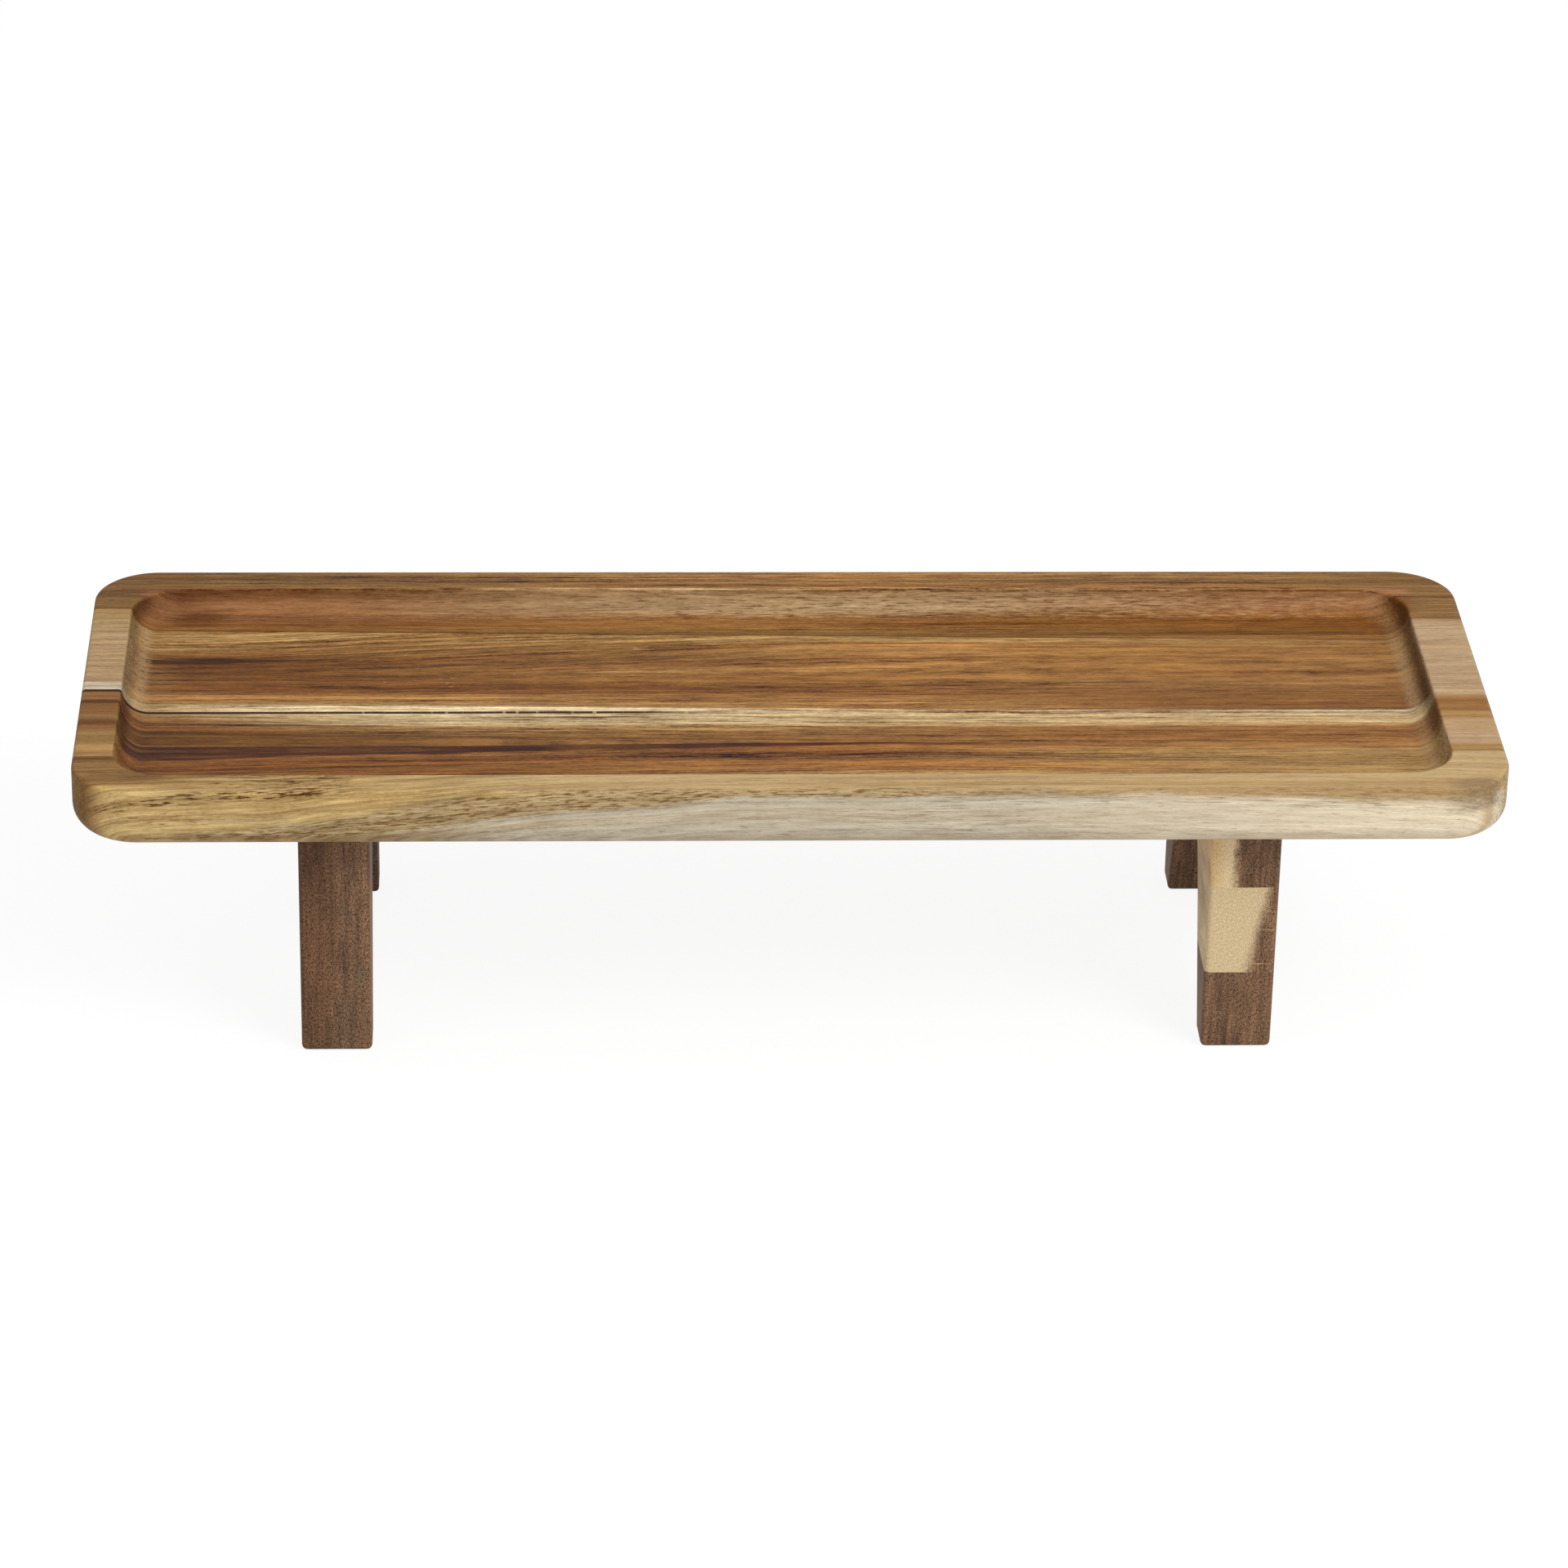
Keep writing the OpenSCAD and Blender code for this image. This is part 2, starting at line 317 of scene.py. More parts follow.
# %% The tree that bends the grid into a board
def board_tree(material):
    tree, size, ending = new_tree("board_shape", board_sizes)
    counts = {"Vertices X": STATIONS, "Vertices Y": RING}
    grid = Wire.node(tree, "GeometryNodeMeshGrid", counts)
    index = Wire.node(tree, "GeometryNodeInputIndex")
    station = floor_of((index + 0.5) / RING)
    step = index - station * RING
    side = floor_of((step + 0.5) / (CORNER_STEPS + 1))
    within = step - side * (CORNER_STEPS + 1)
    angle = (side + within / CORNER_STEPS) * RIGHT_ANGLE
    toward = (side + 0.5) * RIGHT_ANGLE
    outer_in, outer_z = outer_section(size, station)
    well_in, well_drop = well_section(size, station)
    in_well = at_least(station, EASE_FROM)

    def either(outside, inside):
        return outside + in_well * (inside - outside)

    inset = either(outer_in, well_in)
    half_l = either(size["Length"], size["Well length"]) / 2 - inset
    half_w = either(size["Width"], size["Well width"]) / 2 - inset
    radius = either(size["Corner radius"], size["Well corner radius"]) - inset
    closed = 1 - at_least(station, 1) + at_least(station, STATIONS - 1)
    half_l = half_l - closed * half_w
    half_w = half_w * (1 - closed)
    radius = radius * (1 - closed)
    to_corner = math.sqrt(2)
    x = to_corner * cosine(toward) * (half_l - radius) + radius * cosine(angle)
    y = to_corner * sine(toward) * (half_w - radius) + radius * sine(angle)
    x = x + in_well * size["Well shift along"]
    y = y + in_well * size["Well shift back"]
    z = size["Underside"] + either(outer_z, size["Thickness"] - well_drop)
    placed = {"Geometry": grid, "Position": join(tree, x, y, z)}
    bent = Wire.node(tree, "GeometryNodeSetPosition", placed)
    values = {"Geometry": bent, "Distance": TOUCHING}
    merged = Wire.node(tree, "GeometryNodeMergeByDistance", values)
    finish_tree(tree, ending, merged, material)
    return tree


board_mesh = plain_mesh("board", board_tree(bpy.data.materials.new("raw_wood")), board_sizes)
print("Board:", len(board_mesh.vertices), "vertices,", len(board_mesh.polygons), "faces")

# %% [markdown]
# ## Parting the board into its staves
# On the real board four staves were glued edge to edge before the well was routed, so the joints
# run straight through rim, cove and floor. The finished solid is sawn at the three joints here, as
# the CAD does. Each cut is closed again with a flat face, so that every stave is a whole solid.


# %% Saw, close and smooth
def sawn(mesh, cuts):
    """A copy of a closed mesh, cut by planes. Each is a point and the direction that goes away."""
    solid = bmesh.new()
    solid.from_mesh(mesh)
    bmesh.ops.remove_doubles(solid, verts=solid.verts, dist=TOUCHING)
    bmesh.ops.recalc_face_normals(solid, faces=solid.faces)
    for point, away in cuts:
        parts = solid.verts[:] + solid.edges[:] + solid.faces[:]
        bmesh.ops.bisect_plane(
            solid, geom=parts, dist=1e-7, plane_co=point, plane_no=away, clear_outer=True
        )
        rim_edges = [edge for edge in solid.edges if edge.is_boundary]
        bmesh.ops.triangle_fill(solid, edges=rim_edges, use_beauty=True)
        bmesh.ops.recalc_face_normals(solid, faces=solid.faces)
    return solid


SHARP_ANGLE = math.radians(35)


def new_piece(name, solid):
    """Turns a bmesh into an object, smooth except at its sharp edges."""
    mesh = bpy.data.meshes.new(name)
    solid.to_mesh(mesh)
    solid.free()
    mesh.shade_smooth()
    mesh.set_sharp_from_angle(angle=SHARP_ANGLE)
    return new_object(name, mesh)


def with_weighted_normals(piece):
    """Keeps large flat faces flat beside narrow rounded ones."""
    modifier = piece.modifiers.new("flat faces", "WEIGHTED_NORMAL")
    modifier.keep_sharp = True
    piece.data = baked(piece)
    piece.modifiers.clear()
    return piece


# %% Cut the four staves
# Distance of each joint from the board's front edge, at the left end and at the right end.
joints = [(0.026, 0.0295), (0.0805, 0.0805), (0.148, 0.138)]


def joint_plane(joint):
    """A point on a joint and the direction that leads back from it."""
    left = Vector((board_low.x, board_low.y + joint[0], 0))
    right = Vector((board_high.x, board_low.y + joint[1], 0))
    along = (right - left).normalized()
    return left, Vector((-along.y, along.x, 0))


staves = {}
for number, name in enumerate(STAVES):
    cuts = []
    if number > 0:
        point, back = joint_plane(joints[number - 1])
        cuts.append((point, -back))
    if number < len(joints):
        cuts.append(joint_plane(joints[number]))
    staves[name] = with_weighted_normals(new_piece(name, sawn(board_mesh, cuts)))
    made = corners(vertex.co for vertex in staves[name].data.vertices)
    gap = max((mine - theirs).length for mine, theirs in zip(made, box_round([name])))
    print(name, "differs from its CAD box by", round(1000 * gap, 3), "mm")

# %% [markdown]
# ## The legs
# Each leg is a panel with an arch sawn out of it, glued up from flat laminations. Its front view is a
# narrow strip, and its side view is the rule: an outline with slanted sides and a round crown. The
# tree places the corners of a polygon by their number, and Extrude gives it the panel's
# thickness. The edges that hands touch get a weight, which a Bevel modifier then rounds.

# %% Sizes of a leg, in metres
LEG_NODES = {
    -1: ["left_leg_rail", "left_front_foot", "left_rear_foot"],
    1: ["right_leg_rail", "right_front_upright", "right_rear_upright"]
    + ["right_front_foot", "right_rear_foot"],
}
FOOT_DEPTH = 0.0135
ARCH_HEIGHT = 0.073
ARCH_SLANT = math.radians(22.3)


def leg_sizes(side):
    low, high = box_round(LEG_NODES[side])
    half_depth = (high.y - low.y) / 2
    arch_half = half_depth - FOOT_DEPTH
    gained = arch_half * math.cos(ARCH_SLANT) - ARCH_HEIGHT * math.sin(ARCH_SLANT)
    crown_r = gained / (1 - math.sin(ARCH_SLANT))
    return {
        "Middle along": (low.x + high.x) / 2,
        "Thickness": high.x - low.x,
        "Height": high.z,
        "Half depth": half_depth,
        "Arch half width": arch_half,
        "Arch slant": ARCH_SLANT,
        "Crown radius": crown_r,
        "Crown height": ARCH_HEIGHT - crown_r,
    }


print("Leg sizes:", {title: round(size, 4) for title, size in leg_sizes(-1).items()})

# %% The rule for a leg panel
CROWN_STEPS = 24
LEG_CORNERS = CROWN_STEPS + 7
HAIR = 1e-5


def corner_value(index, outside, sole, inside):
    """One value for each of the three corners at both ends, the same at front and rear."""
    last = LEG_CORNERS - 1
    from_end = Wire.math("MINIMUM", index, last - index)
    at_sole = at_least(from_end, 1)
    at_arch = at_least(from_end, 2)
    return outside + at_sole * (sole - outside) + at_arch * (inside - sole)


def leg_tree(material):
    tree, size, ending = new_tree("leg_shape", leg_sizes(1))
    polygon = {"fill_type": "NGON"}
    circle = Wire.node(tree, "GeometryNodeMeshCircle", {"Vertices": LEG_CORNERS}, polygon)
    index = Wire.node(tree, "GeometryNodeInputIndex")
    rear = Wire.math("GREATER_THAN", index, LEG_CORNERS / 2)
    hand = 2 * rear - 1
    y_end = corner_value(index, size["Half depth"], size["Half depth"], size["Arch half width"])
    z_end = corner_value(index, size["Height"], 0.0, 0.0)
    on_crown = at_least(index, 3) * (1 - at_least(index, LEG_CORNERS - 3))
    share = (index - 3) / CROWN_STEPS
    start = math.pi - size["Arch slant"]
    angle = start - share * (math.pi - 2 * size["Arch slant"])
    y_crown = size["Crown radius"] * cosine(angle)
    z_crown = size["Crown height"] + size["Crown radius"] * sine(angle)
    y = hand * y_end * (1 - on_crown) + y_crown * on_crown
    z = z_end * (1 - on_crown) + z_crown * on_crown
    x = size["Middle along"] - size["Thickness"] / 2
    outline = {"Geometry": circle, "Position": join(tree, x, y, z)}
    sheet = Wire.node(tree, "GeometryNodeSetPosition", outline)
    depth = join(tree, size["Thickness"], 0.0, 0.0)
    values = {"Mesh": sheet, "Offset": depth, "Offset Scale": 1.0, "Individual": False}
    block = Wire.node(tree, "GeometryNodeExtrudeMesh", values, {"mode": "FACES"})
    turned = Wire.node(tree, "GeometryNodeFlipFaces", {"Mesh": sheet})
    both = tree.nodes.new("GeometryNodeJoinGeometry")
    for part in (block, turned):
        tree.links.new(part.socket, both.inputs[0])
    joined = Wire(both.outputs[0])
    merged = Wire.node(tree, "GeometryNodeMergeByDistance", {"Geometry": joined})
    middle = Wire.node(tree, "GeometryNodeInputPosition")
    across = Wire.math("ABSOLUTE", part_of(middle, "x") - size["Middle along"])
    outward = Wire.math("ABSOLUTE", part_of(middle, "y"))
    height = part_of(middle, "z")
    below_top = Wire.math("LESS_THAN", height, size["Height"] - HAIR)
    on_face = Wire.math("GREATER_THAN", across, size["Thickness"] / 2 - HAIR)
    on_end = Wire.math("GREATER_THAN", outward, size["Half depth"] - HAIR)
    on_sole = Wire.math("LESS_THAN", height, HAIR)
    at_arch = on_face + on_sole - on_face * on_sole
    outer = clamped(on_end + on_face * on_sole)
    weight = below_top * Wire.math("MAXIMUM", outer, 0.6 * at_arch)
    kept = {"domain": "EDGE", "data_type": "FLOAT"}
    values = {"Geometry": merged, "Name": "bevel_weight_edge", "Value": weight}
    weighted = Wire.node(tree, "GeometryNodeStoreNamedAttribute", values, kept)
    finish_tree(tree, ending, weighted, material)
    return tree


leg_shape = leg_tree(bpy.data.materials["raw_wood"])
print("A leg's polygon has", LEG_CORNERS, "corners")


# %% Round the edges and saw each leg at its glue joints
def leg_mesh(side):
    """One leg as a plain mesh, with its edges rounded."""
    whole = new_object("whole_leg", plain_mesh("leg", leg_shape, leg_sizes(side)))
    bevel = whole.modifiers.new("rounded edges", "BEVEL")
    bevel.limit_method = "WEIGHT"
    bevel.width = 0.002
    bevel.segments = 4
    mesh = baked(whole)
    bpy.data.objects.remove(whole)
    return mesh


UP = Vector((0, 0, 1))
BACK = Vector((0, 1, 0))
leg_pieces = {}
for side, nodes in LEG_NODES.items():
    whole = leg_mesh(side)
    for node in nodes:
        low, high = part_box(node)
        cuts = []
        if low.z > HAIR:
            cuts.append((low, -UP))
        if high.z < box_round(nodes)[1].z - HAIR:
            cuts.append((high, UP))
        if "front" in node:
            cuts.append((Vector(), BACK))
        if "rear" in node:
            cuts.append((Vector(), -BACK))
        leg_pieces[node] = with_weighted_normals(new_piece(node, sawn(whole, cuts)))
        print(node, "has", len(leg_pieces[node].data.polygons), "faces")

# %% [markdown]
# ## Wood, from the inside out
# Real grain runs through the solid, so it isn't painted on a surface here either. Each material reads
# where a point lies: how far along the grain, how far across the board, and how deep. Noise that is
# stretched along the grain gives streaks of several widths, and where the surface turns across the
# grain, the same pattern shows as speckled end grain. A texture image would stretch or show seams in
# the cove. The colours are written as texts of stops across the grain, read by one small function.

# %% Tones of the woods
TONES = {
    "ivory": (220, 204, 176),
    "cream": (208, 184, 144),
    "straw": (190, 161, 116),
    "silver": (188, 175, 153),
    "buff": (178, 148, 114),
    "sand": (172, 142, 104),
    "golden": (184, 154, 103),
    "tan": (163, 127, 80),
    "dun": (166, 144, 108),
    "honey": (152, 109, 64),
    "chestnut": (138, 95, 55),
    "drab": (128, 94, 56),
    "russet": (122, 79, 44),
    "rose": (148, 105, 70),
    "rosewood": (124, 83, 55),
    "walnut": (108, 70, 39),
    "umber": (88, 56, 32),
    "plum": (78, 45, 34),
    "ash": (140, 120, 92),
    "cocoa": (112, 84, 62),
}


def tone(name, level=1.0):
    """A named tone as a linear colour, as the shader nodes want it, at a level of brightness."""
    shares = [channel / 255 for channel in TONES[name]]
    curve = [s / 12.92 if s < 0.04045 else ((s + 0.055) / 1.055) ** 2.4 for s in shares]
    return tuple(share * level for share in curve)


print(len(TONES), "tones, cream is", [round(channel, 3) for channel in tone("cream")])


# %% Masks, ramps and mixes
def eased(wire, low, high):
    """Rises smoothly from 0 at low to 1 at high, or falls where low is the greater of the two."""
    values = {"Value": wire, "From Min": low, "From Max": high}
    return Wire.node(wire.tree, "ShaderNodeMapRange", values, {"interpolation_type": "SMOOTHSTEP"})


def band(wire, low, high, soft):
    """1 between low and high, with soft edges."""
    return eased(wire, low - soft, low + soft) * eased(wire, high + soft, high - soft)


def mixed(first, second, share):
    """Mixes two colours, each a wire or a linear colour."""
    tree = next(part.tree for part in (share, first, second) if isinstance(part, Wire))
    colours = [part if isinstance(part, Wire) else (*part, 1) for part in (first, second)]
    values = {0: share, 6: colours[0], 7: colours[1]}
    return Wire.node(tree, "ShaderNodeMix", values, {"data_type": "RGBA"}, 2)


def ramp(wire, stops):
    """A colour that follows stops, each a place and a linear colour."""
    first, last = stops[0][0], stops[-1][0]
    stops = [((place - first) / (last - first), colour) for place, colour in stops]
    share = (wire - first) / (last - first)
    return Wire.node(wire.tree, "ShaderNodeValToRGB", {0: share}, {"stops": stops})


def shades(wire, text):
    """A colour that follows stops: a place in millimetres, a tone's name and maybe its level."""
    stops = [stop.split() for stop in text.split(",")]
    return ramp(wire, [(float(place), tone(name, *map(float, level))) for place, name, *level in stops])


def path(wire, text):
    """A number that follows points, each a place in millimetres and a value."""
    points = [[float(word) for word in point.split()] for point in text.split(",")]
    low = min(value for _, value in points)
    span = max(value for _, value in points) - low
    grey = ramp(wire, [(place, [(value - low) / span] * 3) for place, value in points])
    return Wire.node(wire.tree, "ShaderNodeRGBToBW", {0: grey}) * span + low


# %% A material, from its name to its output
def new_material(name):
    material = bpy.data.materials.new(name)
    material.use_nodes = True
    material.node_tree.nodes.clear()
    return material


def end_tree(shader, kind="Material"):
    output = shader.tree.nodes.new("ShaderNodeOutput" + kind)
    shader.tree.links.new(shader.socket, output.inputs["Surface"])


# %% Where a point lies in the wood
SEED_STEP = 17.3


class Wood:
    """A wood's material: where a point lies in it, noises that follow its grain, and its colour."""

    def __init__(self, name, seed, tilt, sway=2.0, axes="xyz"):
        """Places are in millimetres. The tilt leans the rings, and the sway makes them wander."""
        self.material = new_material(name)
        self.tree = self.material.node_tree
        self.seed = seed
        self.colour = None
        point = Wire.node(self.tree, "ShaderNodeTexCoord", output="Object")
        facing = Wire.node(self.tree, "ShaderNodeTexCoord", output="Normal")
        start = {"x": 0.0, "y": board_low.y, "z": board_high.z}
        self.place = [(part_of(point, axis) - start[axis]) * 1000 for axis in axes]
        self.along, self.across, self.up = self.place
        self.end_on = Wire.math("ABSOLUTE", part_of(facing, axes[0]))
        drift = self.noise(1 / 130, 1 / 40, 1 / 40) - 0.5
        ripple = self.noise(1 / 30, 1 / 9, 1 / 9, detail=1.0) - 0.5
        self.across_swayed = self.across + drift * sway * 2 + ripple * sway * 0.45
        self.ring = self.across_swayed + self.up * tilt
        self.flow = self.ring

    def texture(self, place, scale=1.0, detail=2.0, roughness=0.5):
        values = {"Vector": place, "Scale": scale, "Detail": detail, "Roughness": roughness}
        return Wire.node(self.tree, "ShaderNodeTexNoise", values)

    def noise(self, along, across, up, **look):
        """Noise from 0 to 1. The three numbers are its repeats for each millimetre."""
        self.seed += SEED_STEP
        place = join(self.tree, self.along * along + self.seed, self.across * across, self.up * up)
        return self.texture(place, **look)

    def streaks(self, length, width, **look):
        """Noise that is stretched along the grain and follows the flow of the rings."""
        self.seed += SEED_STEP
        place = join(self.tree, self.along / length, self.flow / width, self.seed)
        return self.texture(place, **look)

    def lay(self, colour, share, level=1.0):
        """Mixes a colour, or a named tone at a level, into the colour so far."""
        if isinstance(colour, str):
            colour = tone(colour, level)
        self.colour = mixed(self.colour, colour, share)


# %% The finish that all the woods share
DEEPENING = (0.85, 1.0, 1.15)
WARMING = (0.35, 0.0, -0.6)
LIFT = 1.09
SHEEN = (0.009, 0.011, 0.013)
BLACKEST = (0.003, 0.003, 0.003)


def streaked(wood, base, contrast, dash):
    """A base colour with bands, lines and dashes along the grain, warmer and cooler by turns."""
    length_on = eased(wood.end_on, 0.9, 0.3)
    bands = wood.streaks(300, 7, detail=4.0, roughness=0.6) - 0.5
    lines = wood.streaks(110, 2.0, detail=4.0, roughness=0.65) - 0.5
    dashes = wood.streaks(14, 0.9) - 0.5
    grit = wood.noise(0.5, 1.5, 1.5) - 0.5
    swing = (bands * 1.2 + lines * 1.6 + dashes * dash * 1.3) * (0.3 + 0.7 * length_on)
    swing = (swing + grit * 0.7) * contrast
    colour = base * (1 + swing * DEEPENING)
    warmth = wood.streaks(220, 4.5, detail=3.0) - 0.5
    colour = colour * (1 + warmth * contrast * 0.7 * WARMING)
    dark_line = eased(wood.streaks(210, 1.5), 0.6, 0.7) * length_on
    light_line = eased(wood.streaks(150, 1.3), 0.6, 0.7) * length_on
    colour = colour * (1 + (light_line - dark_line) * DEEPENING * 0.25 * contrast)
    pores = eased(wood.noise(1 / 5, 2.2, 2.2, detail=1.0), 0.6, 0.74) * length_on
    colour = colour * (1 - pores * DEEPENING * 0.35)
    return colour, lines * 0.5 + dashes * 0.5 - pores * 0.5


def end_wood(wood, colour, relief, roughness, specular):
    """Ends a wood in its shader, with a faint relief."""
    values = {"Strength": 0.4, "Distance": 0.0002, "Height": relief}
    bump = Wire.node(wood.tree, "ShaderNodeBump", values)
    values = {"Base Color": colour, "Roughness": roughness, "Normal": bump}
    values["Specular IOR Level"] = specular
    end_tree(Wire.node(wood.tree, "ShaderNodeBsdfPrincipled", values))
    print(wood.material.name, "has", len(wood.tree.nodes), "nodes")
    return wood.material


def finish_stave(wood, contrast, dash=1.0, fuzzy=0.0, painted_shade_and_end_grain=0.0):
    """Streaks a stave's colour, darkens its end grain, and ends the material.

    The well's end walls get a share of pale torn fibres low down (fuzzy), and painted shade with darker
    end grain at the top.
    The colour is lifted a little first, and what the soft sheen will add to it is taken off.
    """
    base = Wire.math("MAXIMUM", wood.colour * LIFT - SHEEN, BLACKEST)
    colour, height = streaked(wood, base, contrast, dash)
    cut_across = eased(wood.end_on, 0.45, 0.95)
    speck = wood.noise(0.9, 0.9, 0.9, detail=3.0, roughness=0.7) - 0.5
    colour = colour * (1 + cut_across * (speck * 2.2 - 0.3))
    within = Wire.math("ABSOLUTE", wood.along)
    in_well = eased(within, 240, 238) * band(wood.across, 14, 163, 1.0) * eased(wood.up, -0.6, -1.8)
    # Painted shade, with some darker end grain: the end walls of the well are darkened towards the rim.
    colour = colour * (1 - eased(wood.end_on, 0.5, 0.9) * in_well * painted_shade_and_end_grain)
    fuzz = band(wood.end_on, 0.22, 0.65, 0.2) * in_well * fuzzy
    colour = mixed(colour, tone("sand", 1.1), fuzz * eased(speck, -0.22, 0.16))
    roughness = 0.5 + height * 0.15 + cut_across * 0.12
    return end_wood(wood, colour, height + speck * cut_across, roughness, specular=0.08)


# %% What the staves share
def three_parts(place, left, middle, right, turns=(-190, -20, 10, 215)):
    """Mixes the wood's colours at the left end, in the middle and at the right end."""
    first = mixed(left, middle, eased(place, *turns[:2]))
    return mixed(first, right, eased(place, *turns[2:]))


def on_rim(up, low=-6.0, high=-0.5):
    """1 on the rim and 0 a few millimetres down."""
    return eased(up, low, high)


def thin_line(wood, course, width, name, share, level=1.0):
    """Draws a line along a course across the stave. The width is to either side of it."""
    away = Wire.math("ABSOLUTE", wood.across - course)
    wood.lay(name, eased(away, width, width * 0.4) * share, level)


def seam(wood, number, width, share):
    """Draws a glue joint of the board as a thin dark line."""
    left, right = (1000 * place for place in joints[number])
    joint = left + (right - left) * (wood.along / (1000 * board.x) + 0.5)
    thin_line(wood, joint, width, "umber", share)


# %% [markdown]
# ## The rear stave
# A tan to reddish brown stave. It forms the rear rim and the rear cove, where the router has torn the
# interlocked grain into short pale and dark flecks. Two dark patches lie at the left end of the cove.

# %% Wood of the rear stave
stave_woods = {}


def torn_cove(wood):
    """Pale and dark flecks where the router tore the grain of the rear cove."""
    along, across, up = wood.place
    where = band(across, 156.5, 164.2, 1.5) * eased(along, 228, 200)
    strength = where * (0.15 + 0.85 * eased(along, -190, 20))
    strength = strength * (1 - 0.4 * eased(along, 120, 190))
    flecks = wood.noise(1 / 6, 2.2, 1.6, roughness=0.6)
    wood.lay("buff", eased(flecks, 0.5, 0.6) * strength * 0.45, 1.1)
    wood.lay("umber", eased(flecks, 0.45, 0.34) * strength * 0.75, 1.2)
    dashes = wood.noise(1 / 9, 0.1, 0.1, detail=3.0, roughness=0.6)
    edge = band(up, -1.15, -0.55, 0.25) * eased(across, 160, 162)
    growing = 0.2 * eased(along, -150, -100) + 0.8 * eased(along, -60, 130)
    torn = edge * growing * eased(dashes, 0.45, 0.52)
    wood.lay("umber", torn * 0.8, 1.15)


def rear_stave_wood():
    wood = Wood("rear_stave_wood", seed=3.0, tilt=0.35)
    along, across, up = wood.place
    left = shades(wood.across_swayed, """
        136 chestnut, 149 chestnut, 155 rosewood, 158 rosewood, 161.5 rose, 163.5 rosewood,
        165 drab 0.9, 171 drab 0.75, 173.5 russet 0.8, 176 drab 0.75, 182 walnut""")
    middle = shades(wood.across_swayed, """
        138 chestnut, 145 drab, 147 drab, 150 honey, 157 chestnut, 161 sand 0.85, 164 sand 0.88,
        166 chestnut, 170 drab, 174 honey 0.95, 182 chestnut""")
    right = shades(wood.across_swayed, """
        136 drab, 142 chestnut, 144.5 walnut, 148 walnut, 152 russet, 157 russet, 161.5 rose 1.05,
        163.5 rose 0.85, 165 drab, 170 drab 0.85, 176 drab 0.95, 182 drab 0.8""")
    wood.colour = three_parts(along, left, middle, right)
    ends = on_rim(up) * eased(Wire.math("ABSOLUTE", along), 229, 236)
    end_tone = mixed(tone("drab", 0.76), tone("drab", 0.97), eased(along, -50, 50))
    wood.lay(end_tone, ends * eased(across, 167, 163))
    torn_cove(wood)
    patch = eased(along, -203, -219) * band(up, -6.5, -0.6, 1.2)
    patch = patch * eased(across, 152, 159) * eased(along, -237, -234)
    wood.lay("plum", patch * 0.4, 1.5)
    streak = band(along, -221, -204, 6) * band(up, -9.4, -7.0, 1.2)
    wood.lay("plum", streak * eased(across, 149, 152) * 0.6, 0.9)
    knot = band(along, -100, -94, 2.5) * band(across, 171.8, 173.6, 0.9)
    wood.lay("umber", knot * 0.7)
    seam(wood, 2, width=0.8, share=0.7)
    rim_share = on_rim(up, -1.0, -0.2)
    in_cove = band(across, 159, 164.5, 1.5) * (1 - rim_share)
    calm = 0.9 * eased(along, 180, 230) + 0.7 * eased(along, -205, -225)
    contrast = 1.2 + (0.8 - calm) * rim_share - 0.5 * in_cove
    fuzzy = 0.3 * eased(along, 0, 100)
    # The darker top of the end walls is partly painted shade.
    return finish_stave(wood, contrast, fuzzy=fuzzy, painted_shade_and_end_grain=0.4)


stave_woods["rear_stave"] = rear_stave_wood()


# %% [markdown]
# ## The rear middle stave
# The widest stave. On the rim its sapwood is a pale tan, and the router has laid bare redder heartwood
# on the floor. A thin cream stripe of sapwood follows its front edge and fades to the right.

# %% Colours of the rear middle stave
def rear_middle_floor(wood):
    """Red-brown. Towards the rear the grain climbs, from the left end to the middle."""
    along, across = wood.place[:2]
    rise = path(along, "-250 0, -200 1, -160 5, -120 9, -60 13, 0 17, 60 18, 250 18")
    wood.flow = wood.ring - rise * eased(across, 95, 135)
    left = shades(wood.flow, """
        80 tan, 88 tan, 90.5 honey, 94 honey, 98 russet 0.9, 104 russet 0.85, 110 walnut 0.93,
        124 walnut 0.98, 129 chestnut, 132 tan 0.87, 138 tan, 150 tan 0.93""")
    middle = shades(wood.ring, """
        80 tan, 89 honey, 94 chestnut 0.9, 99 russet, 103 russet 0.92, 106 honey 0.72,
        109 chestnut 0.77, 115 honey 0.88, 120 chestnut 0.9, 125 chestnut 0.9, 130 honey 0.76,
        136 honey 0.86, 143 tan 1.04, 150 honey""")
    right = shades(wood.ring, """
        80 chestnut 0.8, 92 chestnut 0.72, 101 chestnut 1.03, 107 honey 0.9, 112 honey 0.82,
        118 honey 0.92, 128 honey 0.9, 136 honey 0.93, 142 tan 0.92, 146 chestnut 0.9, 150 drab""")
    spread = along + (across - 110) * 2
    wood.colour = three_parts(spread, left, middle, right, turns=(-190, -40, -20, 120))
    near_wall = eased(along, -212, -236)
    wood.lay("tan", near_wall * 0.4, 0.85)


def rear_middle_rim(wood, rightward):
    """Pale tan. At the right it reaches less far down the end wall."""
    left = shades(wood.ring, """
        84 sand 0.9, 93 sand 0.85, 108 sand 0.93, 116 sand, 130 sand 0.95, 140 golden 0.75,
        146 tan 0.95, 152 drab""")
    right = shades(wood.ring, """
        80 buff 0.92, 92 buff 0.92, 100 buff 0.93, 116 buff 0.92, 128 buff, 134 buff 0.9,
        140 tan 0.85, 150 drab""")
    share = on_rim(wood.up, -8.0 + 4.0 * rightward, -2.5 + 2.0 * rightward)
    wood.lay(mixed(left, right, rightward), share)


